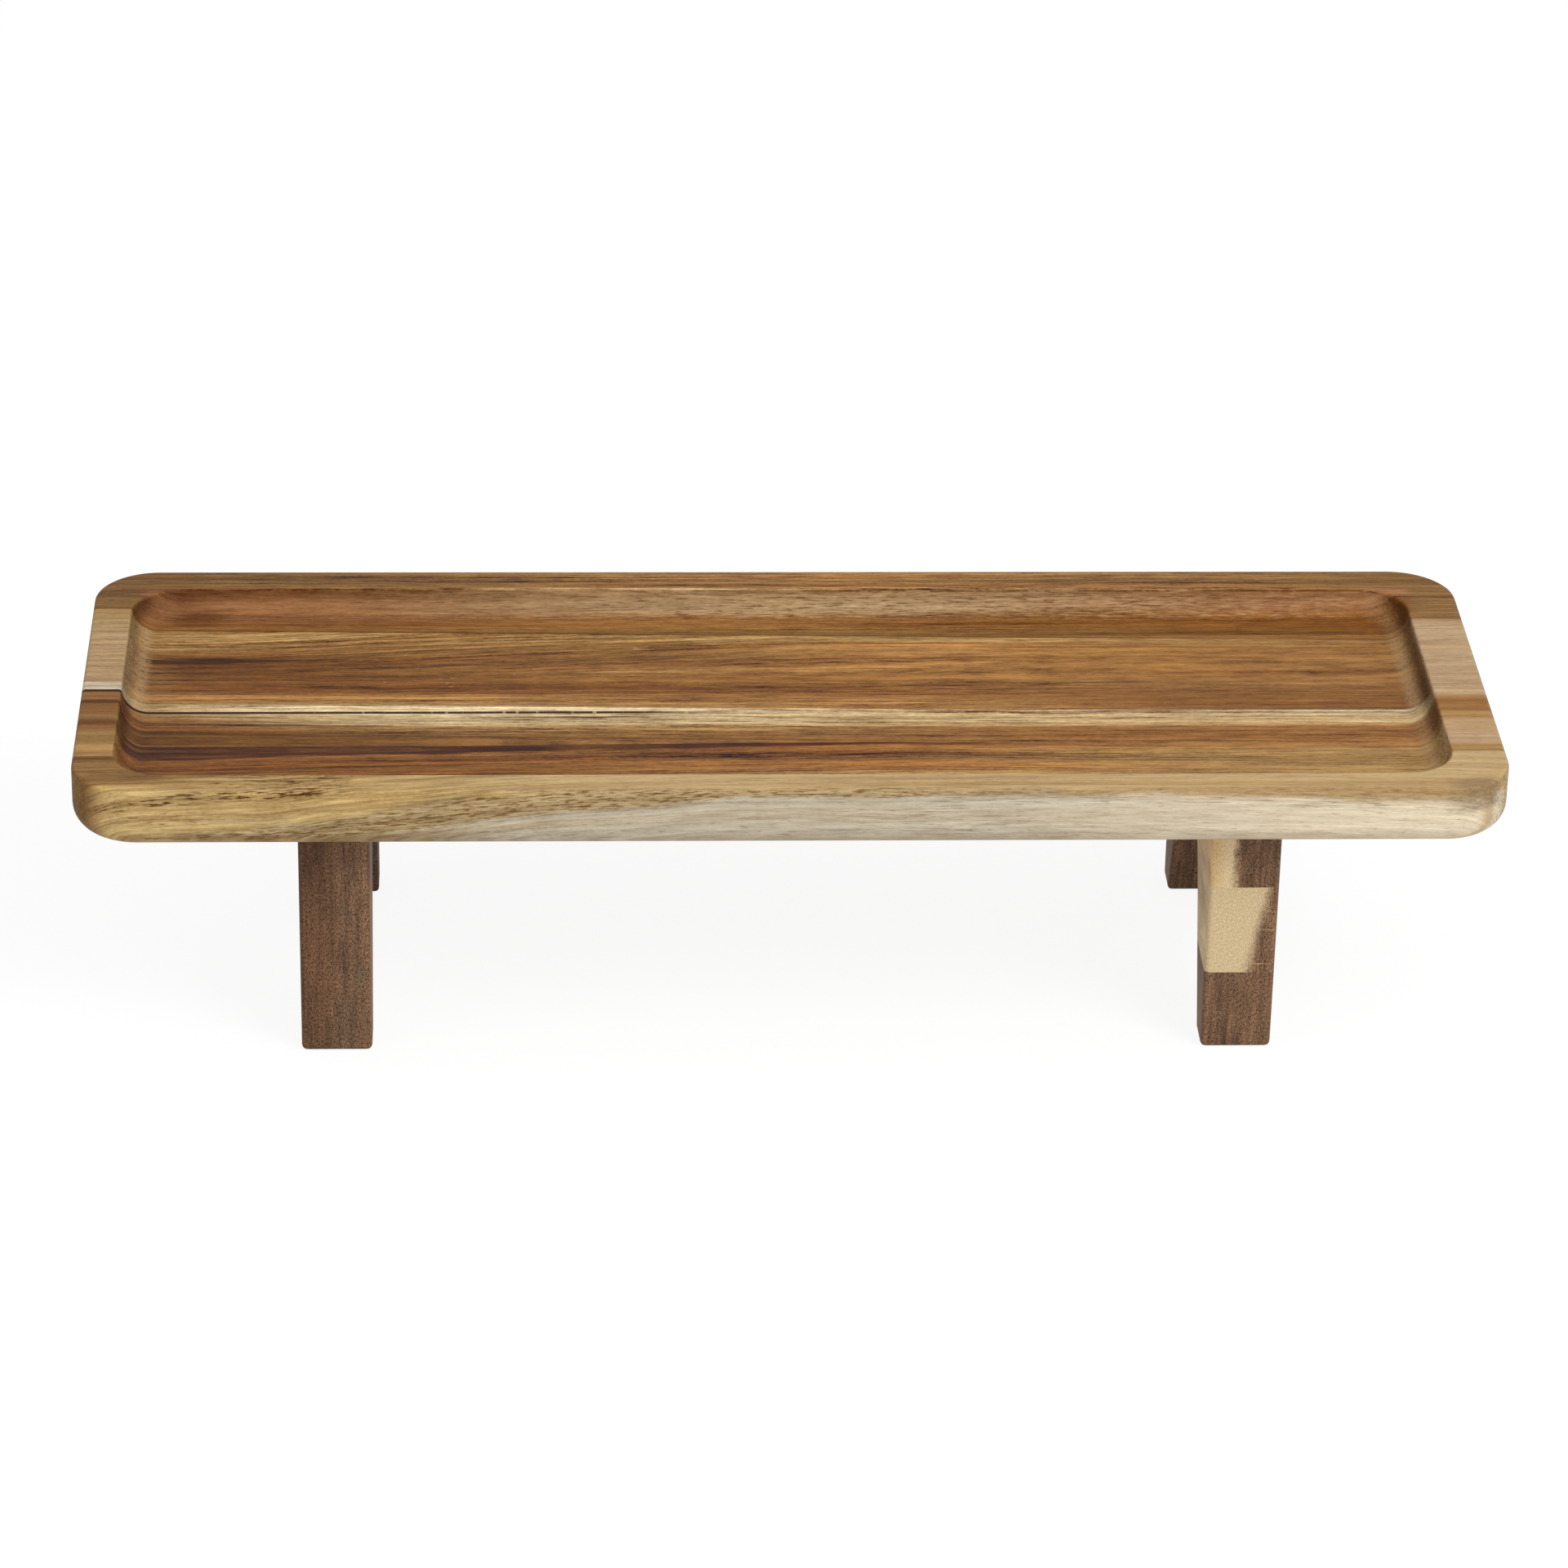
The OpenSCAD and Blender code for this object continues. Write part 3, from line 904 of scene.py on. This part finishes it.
# %% Marks of the rear middle stave, and its whole wood
def knot_with_tail(wood):
    """A ragged dark knot near the left end, with a tail along the grain."""
    along, across = wood.place[:2]
    spot = band(across, 118.5, 124.5, 1.8) * band(along, -229, -196, 8)
    tail = band(across, 121, 123.5, 1.2) * band(along, -226, -165, 22)
    ragged = eased(wood.streaks(22, 2.2), 0.34, 0.5)
    wood.lay("umber", clamped(spot + tail * 0.7) * ragged * 0.9, 0.45)


def sapwood_stripe(wood):
    """The cream stripe along the front edge, with a tan thread in it at the left."""
    along, across, up = wood.place
    edge = path(along, "-250 87, -225 86.2, -117 84.6, -47 82.6, 60 81.3, 250 80.9")
    stripe = eased(across, edge + 0.6, edge - 0.5)
    stripe_wood = mixed(tone("straw", 0.85), tone("cream", 1.01), eased(along, -225, -160))
    stripe_wood = mixed(stripe_wood, tone("silver"), on_rim(up) * 0.8)
    fading = 1 - 0.75 * eased(along, 0, 200)
    wood.lay(stripe_wood, stripe * fading)
    thread = band(across, 83.2, 83.6, 0.4) * eased(along, -100, -180)
    wood.lay("tan", thread * 0.6)


def scuff_and_nicks(wood):
    """One rubbed spot and a few pale nicks on the floor, left of the middle."""
    along, across = wood.place[:2]
    scuff = band(along, -54, -47, 2.5) * band(across, 130.5, 132.5, 1.0)
    rubbed = wood.noise(1 / 3, 1.2, 1.2)
    wood.lay("buff", scuff * eased(rubbed, 0.42, 0.6) * 0.6)
    nicks = eased(wood.noise(1 / 4, 1 / 1.3, 1 / 1.3, detail=1.0), 0.72, 0.78)
    nicked = band(along, -150, -40, 20) * band(across, 95, 128, 5)
    wood.lay("buff", nicks * nicked * 0.6, 1.1)


def rear_middle_stave_wood():
    wood = Wood("rear_middle_stave_wood", seed=41.0, tilt=-0.2)
    along, up = wood.along, wood.up
    rightward = eased(along, -50, 50)
    rear_middle_floor(wood)
    knot_with_tail(wood)
    rear_middle_rim(wood, rightward)
    sapwood_stripe(wood)
    seam(wood, 2, width=0.5, share=0.5)
    course = path(along, "-250 136, -120 138.5, -60 140.5, 0 144.5, 60 145.5, 250 146")
    shown = band(along, -110, 90, 40) * (1 - on_rim(up))
    thin_line(wood, course, 0.7, "walnut", shown * 0.55)
    scuff_and_nicks(wood)
    leftward = eased(along, -80, -150)
    contrast = 1.6 + 0.2 * band(along, -80, 90, 60) + 0.15 * leftward - 1.0 * on_rim(up)
    contrast = contrast - 0.35 * eased(along, 50, 150) * (1 - on_rim(up))
    # Painted shade on the end walls, more at the right end, whose wall faces away from the key lamp.
    painted_shade_and_end_grain = 0.25 + 0.25 * rightward
    return finish_stave(wood, contrast, fuzzy=0.7, painted_shade_and_end_grain=painted_shade_and_end_grain)


stave_woods["rear_middle_stave"] = rear_middle_stave_wood()


# %% [markdown]
# ## The front middle stave
# The liveliest stave. Its rings lean, so a line on the rim comes out on the floor several millimetres
# further forward, and draws a curve down the cove on its way. A purple streak tapers along the floor,
# a red line runs beside it, and from the middle rightwards the rear edge is cream sapwood.

# %% Colours of the front middle stave
def front_middle_colours(wood):
    """Brown with a cream rear edge on the floor, and lighter and more striped on the rim."""
    left = shades(wood.ring, """
        30 chestnut, 41 russet 0.9, 50 russet, 59 chestnut 0.8, 61.5 walnut 0.86, 68 walnut 0.86,
        70 umber, 73 russet, 78 russet 0.96, 82 chestnut 0.92, 88 tan 0.78""")
    middle = shades(wood.ring, """
        30 straw, 38 tan, 43 chestnut 1.05, 57 russet 1.08, 63 chestnut 0.9, 67 chestnut 0.9,
        71 honey 0.95, 74 tan, 78 straw 0.95, 83 straw, 87 cream""")
    right = shades(wood.ring, """
        30 tan, 39 tan 0.76, 55 tan 0.76, 60 chestnut, 65 chestnut 0.95, 74 chestnut, 78 straw 0.9,
        83 straw 0.92, 87 cream""")
    spread = wood.along + (wood.ring - 65) * 3
    wood.colour = three_parts(spread, left, middle, right, turns=(-190, -60, -20, 110))
    rim_left = shades(wood.ring, """
        28 tan, 35 tan, 38 tan 0.78, 46 tan 0.75, 50 chestnut, 53 walnut, 56 walnut, 58 tan 0.75,
        62 chestnut 0.88, 68 chestnut 0.85, 69.8 umber, 71.2 umber, 73 chestnut, 78 chestnut,
        82 tan 0.9""")
    rim_right = shades(wood.ring, """
        28 tan 0.95, 34 tan 0.95, 38 buff 0.9, 49 sand 1.06, 54 sand 0.98, 57 honey, 59 tan,
        63 chestnut, 66 honey, 70 chestnut, 72 honey, 75 buff 0.9, 77 buff 1.05, 82 buff 1.05""")
    rim_wood = mixed(rim_left, rim_right, eased(wood.along, -20, 20))
    wood.lay(rim_wood, on_rim(wood.up))


# %% Streak and crack of the front middle stave, and its whole wood
LEAN = -0.78


def purple_streak(wood, line, bottom):
    """Lays the streak from its lower to its upper edge, and returns how far its edges stray."""
    along = wood.along
    top = path(along, "-250 52.5, -163 53, -117 53, -48 54.4, 38 55.6, 125 52.5, 250 50")
    narrowing = 1 - 0.75 * eased(along, -90, 0)
    strands = wood.streaks(45, 1.6, detail=3.0)
    feather = (strands - 0.5) * 3.5 * narrowing
    fading = (1 - 0.55 * eased(along, 20, 110)) * (1 - 0.8 * eased(along, 130, 200))
    lower_feather = (wood.streaks(16, 1.1, detail=3.0, roughness=0.6) - 0.5) * 5 * narrowing
    streak = eased(line + feather + lower_feather, bottom - 0.8, bottom + 0.8)
    streak = streak * eased(line + feather * 0.3, top + 0.5, top - 0.5)
    streak = streak * fading * (1 - on_rim(wood.up, -6.0, -3.0))
    veined = eased(strands, 0.36, 0.56)
    wood.lay("plum", streak * (0.72 + 0.28 * veined), 0.75)
    return feather


def dark_crack(wood):
    """A dark line beside the cream sapwood. It breaks up and is faint from the middle rightwards."""
    along = wood.along
    crack = wood.noise(1 / 40, 0.0, 0.0)
    strength = 0.97 - 0.8 * eased(along + (crack - 0.5) * 60, -60, 0)
    ticks = eased(wood.noise(1 / 2.5, 0.0, 0.0, detail=1.0), 0.56, 0.66)
    strength = strength * (1 - 0.4 * ticks * eased(along, -190, -130))
    thin_line(wood, 79.6, 1.5, "umber", strength, level=0.2)


def front_middle_stave_wood():
    wood = Wood("front_middle_stave_wood", seed=77.0, tilt=LEAN, sway=0.8)
    along, across, up = wood.place
    bottom = path(along, """
        -250 42, -206 42.5, -163 45.5, -117 47, -48 50.4, 38 53.4, 125 51.4, 250 49.4""")
    course = path(along, "-250 64.2, -206 63.3, -163 61.1, -117 60.3, -48 58.8, 10 57, 125 56, 250 55")
    line = across + up * LEAN - 7.0
    wood.flow = wood.ring - (bottom + (course - bottom) * eased(line, 48, 58)) * 0.8
    front_middle_colours(wood)
    feather = purple_streak(wood, line, bottom)
    red = band(line + feather * 0.25, course - 0.5, course + 0.5, 0.5)
    wood.lay("umber", red * (1 - 0.6 * eased(along, 0, 120)) * 0.8)
    dark_crack(wood)
    front_dark = eased(along, -120, -200)
    seam(wood, 0, width=2.2, share=front_dark * 0.8)
    contrast = 1.8 - 1.0 * on_rim(up) - 0.3 * eased(along, 60, 150)
    # Painted shade on the end walls, none at the front of this stave's part of the well.
    painted_shade_and_end_grain = 0.5 * eased(across, 46, 58)
    fuzzy = 0.3 * eased(along, 0, 50)
    return finish_stave(wood, contrast, fuzzy=fuzzy, painted_shade_and_end_grain=painted_shade_and_end_grain)


stave_woods["front_middle_stave"] = front_middle_stave_wood()


# %% [markdown]
# ## The front stave
# The front stave forms the whole front face. It is golden at the left and a silvery cream at the
# right. The border between the two climbs across the face, and the grain curves with it. Short dark
# dashes, cut vessels of the wood, crowd along that border and along two more curves.

# %% Colours of the front stave
def face_curves(along):
    """Heights on the front face of the upper and the lower edge of the grey border."""
    upper = path(along, """
        -250 -19, -215 -16.5, -190 -15, -170 -12, -150 -9.5, -130 -5.5, -115 -2.5, -95 -0.5,
        -60 0.5, 250 0.5""")
    lower = path(along, """
        -250 -26, -180 -22, -160 -18, -130 -14.5, -110 -11.5, -90 -9, -70 -7, -50 -5.5, -30 -3.5,
        0 -2.2, 120 -1.5, 187 -3, 250 -5.5""")
    return upper, lower


def face_dashes(wood, share, name, level, low, high, length=5):
    """Short dark dashes along the flow of the grain."""
    dashes = eased(wood.streaks(length, 0.6, roughness=0.6), low, high)
    wood.lay(name, dashes * share, level)


def front_colours(wood, height, on_top):
    """Golden above the border and silvery cream below it, with drab dashes on the border."""
    along, across = wood.place[:2]
    upper, lower = face_curves(along)
    wood.flow = wood.ring - lower * 0.8
    wood.colour = shades(along, """
        -250 golden 1.1, -210 golden 0.95, -170 golden 0.95, -150 golden 1.05, -125 golden 0.82,
        -60 straw 0.92, 200 straw 0.92, 250 straw 0.88""")
    below = shades(along, """
        -250 golden, -145 dun 0.9, -105 silver 0.86, 80 silver 0.95, 130 ivory 0.76,
        180 ivory 0.86, 250 ivory 0.9""")
    wood.lay("dun", eased(height, upper + 1.5, upper - 1.5) * (1 - on_top))
    outward = 1 - 0.7 * eased(across, 8, 15)
    wood.lay(below, eased(height, lower + 1.2, lower - 1.6) * outward)
    border = eased(height, upper + 1.0, upper - 1.0) * eased(height, lower - 2.0, lower + 1.0)
    border = border * (1 - on_top) * (1 - 0.5 * eased(along, 20, 100))
    face_dashes(wood, border * 0.85, "drab", level=0.7, low=0.5, high=0.6)


# %% Dashes on the front face
def golden_marks(wood, height, on_top):
    """An arc of dashes high on the golden part, dull patches, and stray dashes at the left end."""
    along, up = wood.along, wood.up
    first = path(along, """
        -250 -11, -240 -8.5, -230 -5.5, -215 -3, -190 -1.2, -160 0.3, -140 0.6, 250 0.6""")
    arc = band(height, first - 2.2, first + 1.5, 1.3) * eased(along, -140, -165)
    wood.lay("drab", arc * 0.2 * eased(along, -230, -190))
    face_dashes(wood, arc, "umber", level=0.9, low=0.51, high=0.58)
    patchy = eased(wood.noise(1 / 30, 1 / 5, 1 / 5), 0.42, 0.62)
    golden_part = eased(along, -90, -140) * (1 - on_top)
    wood.lay("dun", patchy * golden_part * 0.25, 0.85)
    stray = band(up, -14, -8, 2.0) * band(along, -228, -200, 8)
    stray = clamped(stray + band(up, -12.5, -4.5, 2.0) * eased(along, -226, -240))
    face_dashes(wood, stray * 0.7, "drab", level=0.8, low=0.56, high=0.64)


def silver_marks(wood, height, on_top):
    """Fine dashes on the silvery part, and a warmer upper edge at the right."""
    along, up = wood.along, wood.up
    middle = band(up, -17, -1, 2.0) * band(along, 15, 75, 22)
    second = path(along, "-250 -3, 60 -3, 160 -4, 235 -8, 250 -9")
    along_second = band(height, second - 1.8, second + 1.8, 1.2) * band(along, 50, 225, 25)
    silver_dashes = clamped(middle * 0.8 + along_second) * (1 - on_top)
    face_dashes(wood, silver_dashes * 0.6, "ash", level=0.7, low=0.54, high=0.64, length=13)
    sunned = eased(up, -6.5, -0.5) * eased(along, 70, 150) * (1 - on_top)
    wood.lay("tan", sunned * 0.38)


# %% Top of the front stave, and its whole wood
def top_marks(wood, on_top):
    """An olive diagonal, a dull line near the edge, and a dark left corner."""
    along, across = wood.place[:2]
    diagonal = path(along, "-250 2.5, -180 3, -165 4, -115 10.5, -60 14, 250 14")
    olive = band(across, diagonal - 1.0, diagonal + 1.6, 1.2)
    olive = olive * band(along, -165, -100, 15) * on_top
    wood.lay("drab", olive * 0.3)
    dull = band(across, 3.5, 6.5, 1.3) * (0.25 + 0.3 * eased(along, 0, 60)) * on_top
    wood.lay("tan", dull)
    corner = eased(along, -185, -228)
    wood.lay("drab", eased(across, 2, 9) * corner * 0.95, 0.95)


def front_stave_wood():
    wood = Wood("front_stave_wood", seed=123.0, tilt=1.0, sway=1.2)
    along, across, up = wood.place
    height = up + (wood.noise(1 / 35, 1 / 4, 1 / 4) - 0.5) * 5
    on_top = eased(across, 0.8, 3.0)
    front_colours(wood, height, on_top)
    golden_marks(wood, height, on_top)
    silver_marks(wood, height, on_top)
    top_marks(wood, on_top)
    fibres = wood.noise(1 / 5, 1 / 1.2, 1 / 1.2, detail=3.0, roughness=0.65)
    patch = eased(along, 222, 236) * eased(up, -11.5, -8) * eased(across, 11, 6)
    wood.lay("ash", patch * (0.7 + 0.3 * eased(fibres, 0.42, 0.6)) * 0.8, 0.8)
    seam(wood, 0, width=2.5, share=eased(along, -170, -230) * 0.8)
    contrast = 0.85 - 0.35 * eased(along, -110, -40) - 0.1 * eased(along, 90, 150)
    return finish_stave(wood, contrast, dash=1.3)


stave_woods["front_stave"] = front_stave_wood()


# %% [markdown]
# ## The legs' woods
# The legs are glued from short blocks whose grain runs from front to rear, so the photograph sees
# their end grain. It is a close speckle of cut pores, drawn into faint upright streaks on the left
# leg and into a slanting hatch on the right foot. Fine pale rays cross the brown corners.

# %% Wood of the legs' blocks
def speckled(wood, colour, amount):
    """Speckles end grain. The specks stand upright at the left and slant at the right."""
    slant = eased(wood.across, -20, 20) * 0.7
    first = wood.across * 1.25 + wood.up * slant
    second = wood.up * (0.8 - 0.15 * slant) - wood.across * slant * 0.6
    place = join(wood.tree, first, second, wood.along * 0.2)
    specks = wood.texture(place, scale=1.3, roughness=0.85) - 0.5
    return colour * (1 + specks * amount * DEEPENING), specks


def leg_wood(name, paint, seed, axes="yxz"):
    """A wood whose ends are speckled. The paint lays its base colour and says where it is brown."""
    wood = Wood(name, seed, tilt=0.15, sway=0.8, axes=axes)
    brown = paint(wood)
    cut_across = eased(wood.end_on, 0.3, 0.9)
    sides, height = streaked(wood, wood.colour, contrast=0.8, dash=1.0)
    patches = (wood.noise(0.02, 1 / 4, 1 / 9) - 0.5) * 0.9
    uprights = (wood.noise(0.0, 1 / 1.6, 1 / 40, detail=3.0) - 0.5) * 1.6
    ends = wood.colour * (1 + (patches + uprights) * brown)
    ends, specks = speckled(wood, ends, 1.5 + brown * 3.6)
    relief = height * (1 - cut_across) + specks * cut_across
    roughness = 0.6 + relief * 0.15
    return end_wood(wood, mixed(sides, ends, cut_across), relief, roughness, specular=0.15)


# %% Paints of the blocks and the dowels
def dark_leg(wood):
    """Brown. The left leg is darker and redder at its left, with two olive patches and painted shade at
    its rear.
    """
    course = wood.across_swayed
    wood.colour = shades(course, """
        -173 cocoa 0.62, -170 cocoa 0.69, -164.5 cocoa 0.78, -161.5 cocoa 0.83, -158.5 cocoa 0.94,
        -155.5 cocoa 0.92, -152.8 cocoa, -150 cocoa 1.13, -147.5 cocoa 1.25, -100 cocoa 0.97,
        180 cocoa 0.97""")
    wood.lay("walnut", 0.22 * eased(course, -156, -162), 0.9)
    purple = eased(course, -161, -165) * eased(wood.up, -105, -80)
    wood.lay("plum", purple * 0.15, 1.5)
    low_patch = band(course, -161, -153, 1.5) * eased(wood.up, -90, -98)
    side_patch = band(course, -154, -148.5, 1.5) * band(wood.up, -90, -80, 3)
    wood.lay("ash", clamped(low_patch + side_patch) * 0.4, 0.42)
    # Painted shade: the rear of the left leg is darkened where the board shadows it.
    painted_shade_behind = eased(wood.along, 60, 110) * eased(wood.across, 20, -20)
    wood.colour = wood.colour * (1 - 0.3 * painted_shade_behind)
    return 1.0


def cream_leg(wood):
    """Cream with a brown corner that slants across the front, crossed by a few pale rays."""
    wander = (wood.noise(0.05, 1 / 3, 1 / 5) - 0.5) * 2.5
    border = 162.2 + (wood.up + 83.5) * 0.205 + wander
    brown = eased(wood.across, border - 2.6, border + 3.0)
    wood.colour = mixed(tone("cream", 0.95), tone("cocoa", 1.15), brown)
    rays = wood.noise(0.02, 1 / 16, 1 / 0.9)
    wood.lay("straw", eased(rays, 0.64, 0.72) * brown * 0.6)
    return brown


def rail_leg(wood):
    """Cream at the left and brown at the right."""
    wander = (wood.noise(0.05, 1 / 4, 1 / 7) - 0.5) * 5
    brown = eased(wood.across + wander, 154.2, 158.7)
    pale = mixed(tone("cream", 1.12), tone("straw", 1.25), eased(wood.across, 154, 149))
    wood.colour = mixed(pale, tone("cocoa"), brown)
    return brown


def plain_dowel(wood):
    """Pale and even, as dowels from a shop are. Nobody sees them once the board is glued on."""
    wood.colour = mixed(tone("cream"), tone("straw"), wood.noise(1 / 20, 1 / 3, 1 / 3))
    return 0.0


leg_woods = {
    "dark_leg_wood": leg_wood("dark_leg_wood", dark_leg, 201.0),
    "right_rail_wood": leg_wood("right_rail_wood", rail_leg, 233.0),
    "cream_leg_wood": leg_wood("cream_leg_wood", cream_leg, 257.0),
    "dowel_wood": leg_wood("dowel_wood", plain_dowel, 283.0, axes="zxy"),
}

# %% Give every piece its wood and its place
def dress(piece, material):
    piece.data.materials.clear()
    piece.data.materials.append(material)


def place(piece, node, slot):
    """Puts a piece in the CAD node's place, on the object's one body."""
    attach(piece, "root")
    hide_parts(node)


for name, material in stave_woods.items():
    dress(staves[name], material)
    place(staves[name], name, name + "_wood")
slots = {row["node"]: row["material_slot"] for row in frame["record"]["subparts"]}
for node, piece in leg_pieces.items():
    dress(piece, leg_woods[slots[node]])
    place(piece, node, slots[node])
for node in ("left_leg_dowels", "right_leg_dowels"):
    dress(frame["nodes"][node], leg_woods["dowel_wood"])
print("Dressed", len(staves), "staves,", len(leg_pieces), "blocks and 2 pairs of dowels")

# %% [markdown]
# ## A pale floor that stays white
# Product photographs stand on white paper that loses its edges in the light, and more light would
# bleach the wood too. So the floor is pale paint that sends light up under the board, and the camera
# sees it mixed with plain white. A little of the paint still shows, and with it the board's soft
# shadow. The world does the same: it lights the board gently and looks white.

# %% Floor and world
WHITE = (1, 1, 1, 1)
PAPER = (0.86, 0.86, 0.86, 1)


def looked_at(tree):
    """1 where the camera, a gloss or a glass looks, and 0 for the light that reaches the object."""
    kinds = [f"Is {kind} Ray" for kind in ("Camera", "Glossy", "Transmission")]
    camera, gloss, glass = (Wire.node(tree, "ShaderNodeLightPath", output=kind) for kind in kinds)
    return clamped(camera + gloss + glass)


def white_for_camera(tree, surface, share):
    """Mixes a surface with plain white where it is looked at, and so keeps its shadows soft."""
    white = Wire.node(tree, "ShaderNodeEmission", {"Color": WHITE, "Strength": 1.05})
    values = {0: looked_at(tree) * share, 1: surface, 2: white}
    return Wire.node(tree, "ShaderNodeMixShader", values)


floor_paint = new_material("pale_floor")
tree = floor_paint.node_tree
matt = Wire.node(tree, "ShaderNodeBsdfDiffuse", {"Color": PAPER})
end_tree(white_for_camera(tree, matt, share=0.86))
ground = bmesh.new()
bmesh.ops.create_grid(ground, x_segments=1, y_segments=1, size=6.0)
floor_piece = new_piece("floor", ground)
dress(floor_piece, floor_paint)

world = bpy.data.worlds.new("studio")
bpy.context.scene.world = world
world.use_nodes = True
tree = world.node_tree
tree.nodes.clear()
soft = Wire.node(tree, "ShaderNodeBackground", {"Color": WHITE, "Strength": 0.55})
plain = Wire.node(tree, "ShaderNodeBackground", {"Color": WHITE, "Strength": 1.0})
both = Wire.node(tree, "ShaderNodeMixShader", {0: looked_at(tree), 1: soft, 2: plain})
end_tree(both, "World")
print("Floor of", [round(size, 1) for size in floor_piece.dimensions], "m")

# %% [markdown]
# ## Two soft lamps
# In the photograph the front face and the tops are about equally bright, and the right end of the
# well is a little darker under its rim. A large lamp at the front right and a wide, weak one at the
# left give that, together with painted shade on the end walls of the well. Their power is set so
# that a colour renders about as bright as it is written.


# %% Lamps
def soft_lamp(name, place, size, power):
    """A square lamp that looks at the middle of the board."""
    lamp = bpy.data.lights.new(name, "AREA")
    lamp.size = size
    lamp.energy = power
    holder = new_object(name, lamp)
    toward = Vector((0, 0, 0.1)) - Vector(place)
    turn = toward.to_track_quat("-Z", "Y").to_matrix().to_4x4()
    holder.matrix_world = Matrix.Translation(place) @ turn
    print(name, "lamp,", power, "W,", round(toward.length, 2), "m away")


soft_lamp("key", (1.7, -1.7, 2.2), size=1.4, power=62)
soft_lamp("fill", (-2.2, -0.9, 1.6), size=2.0, power=14)

# %% [markdown]
# ## The camera
# The four corners of the board's top and the feet of the legs fix the camera: it looks down by about
# 27 degrees through a long lens, with a slight turn and roll. The angles say more to a reader than a
# matrix would, so the camera's three directions are built from them.

# %% Camera
yaw, pitch, roll = (math.radians(angle) for angle in (2.831, 26.813, 1.143))
aim = Vector((-0.0006, -0.015, 0.07952))
distance = 2.153
level = Vector((math.cos(yaw), -math.sin(yaw), 0))
ahead = Vector((math.sin(yaw), math.cos(yaw), 0))
forward = ahead * math.cos(pitch) - UP * math.sin(pitch)
upright = level.cross(forward)
right = level * math.cos(roll) + upright * math.sin(roll)
above = upright * math.cos(roll) - level * math.sin(roll)
lens = bpy.data.cameras.new("camera")
lens.lens = 138.15
lens.sensor_width = 36
lens.clip_end = 50
camera = new_object("camera", lens)
turned = Matrix((right, above, -forward)).transposed().to_4x4()
camera.matrix_world = Matrix.Translation(aim - distance * forward) @ turned
bpy.context.scene.camera = camera
bpy.context.scene.view_settings.view_transform = "Standard"
print("Camera at", [round(part, 3) for part in camera.matrix_world.translation])
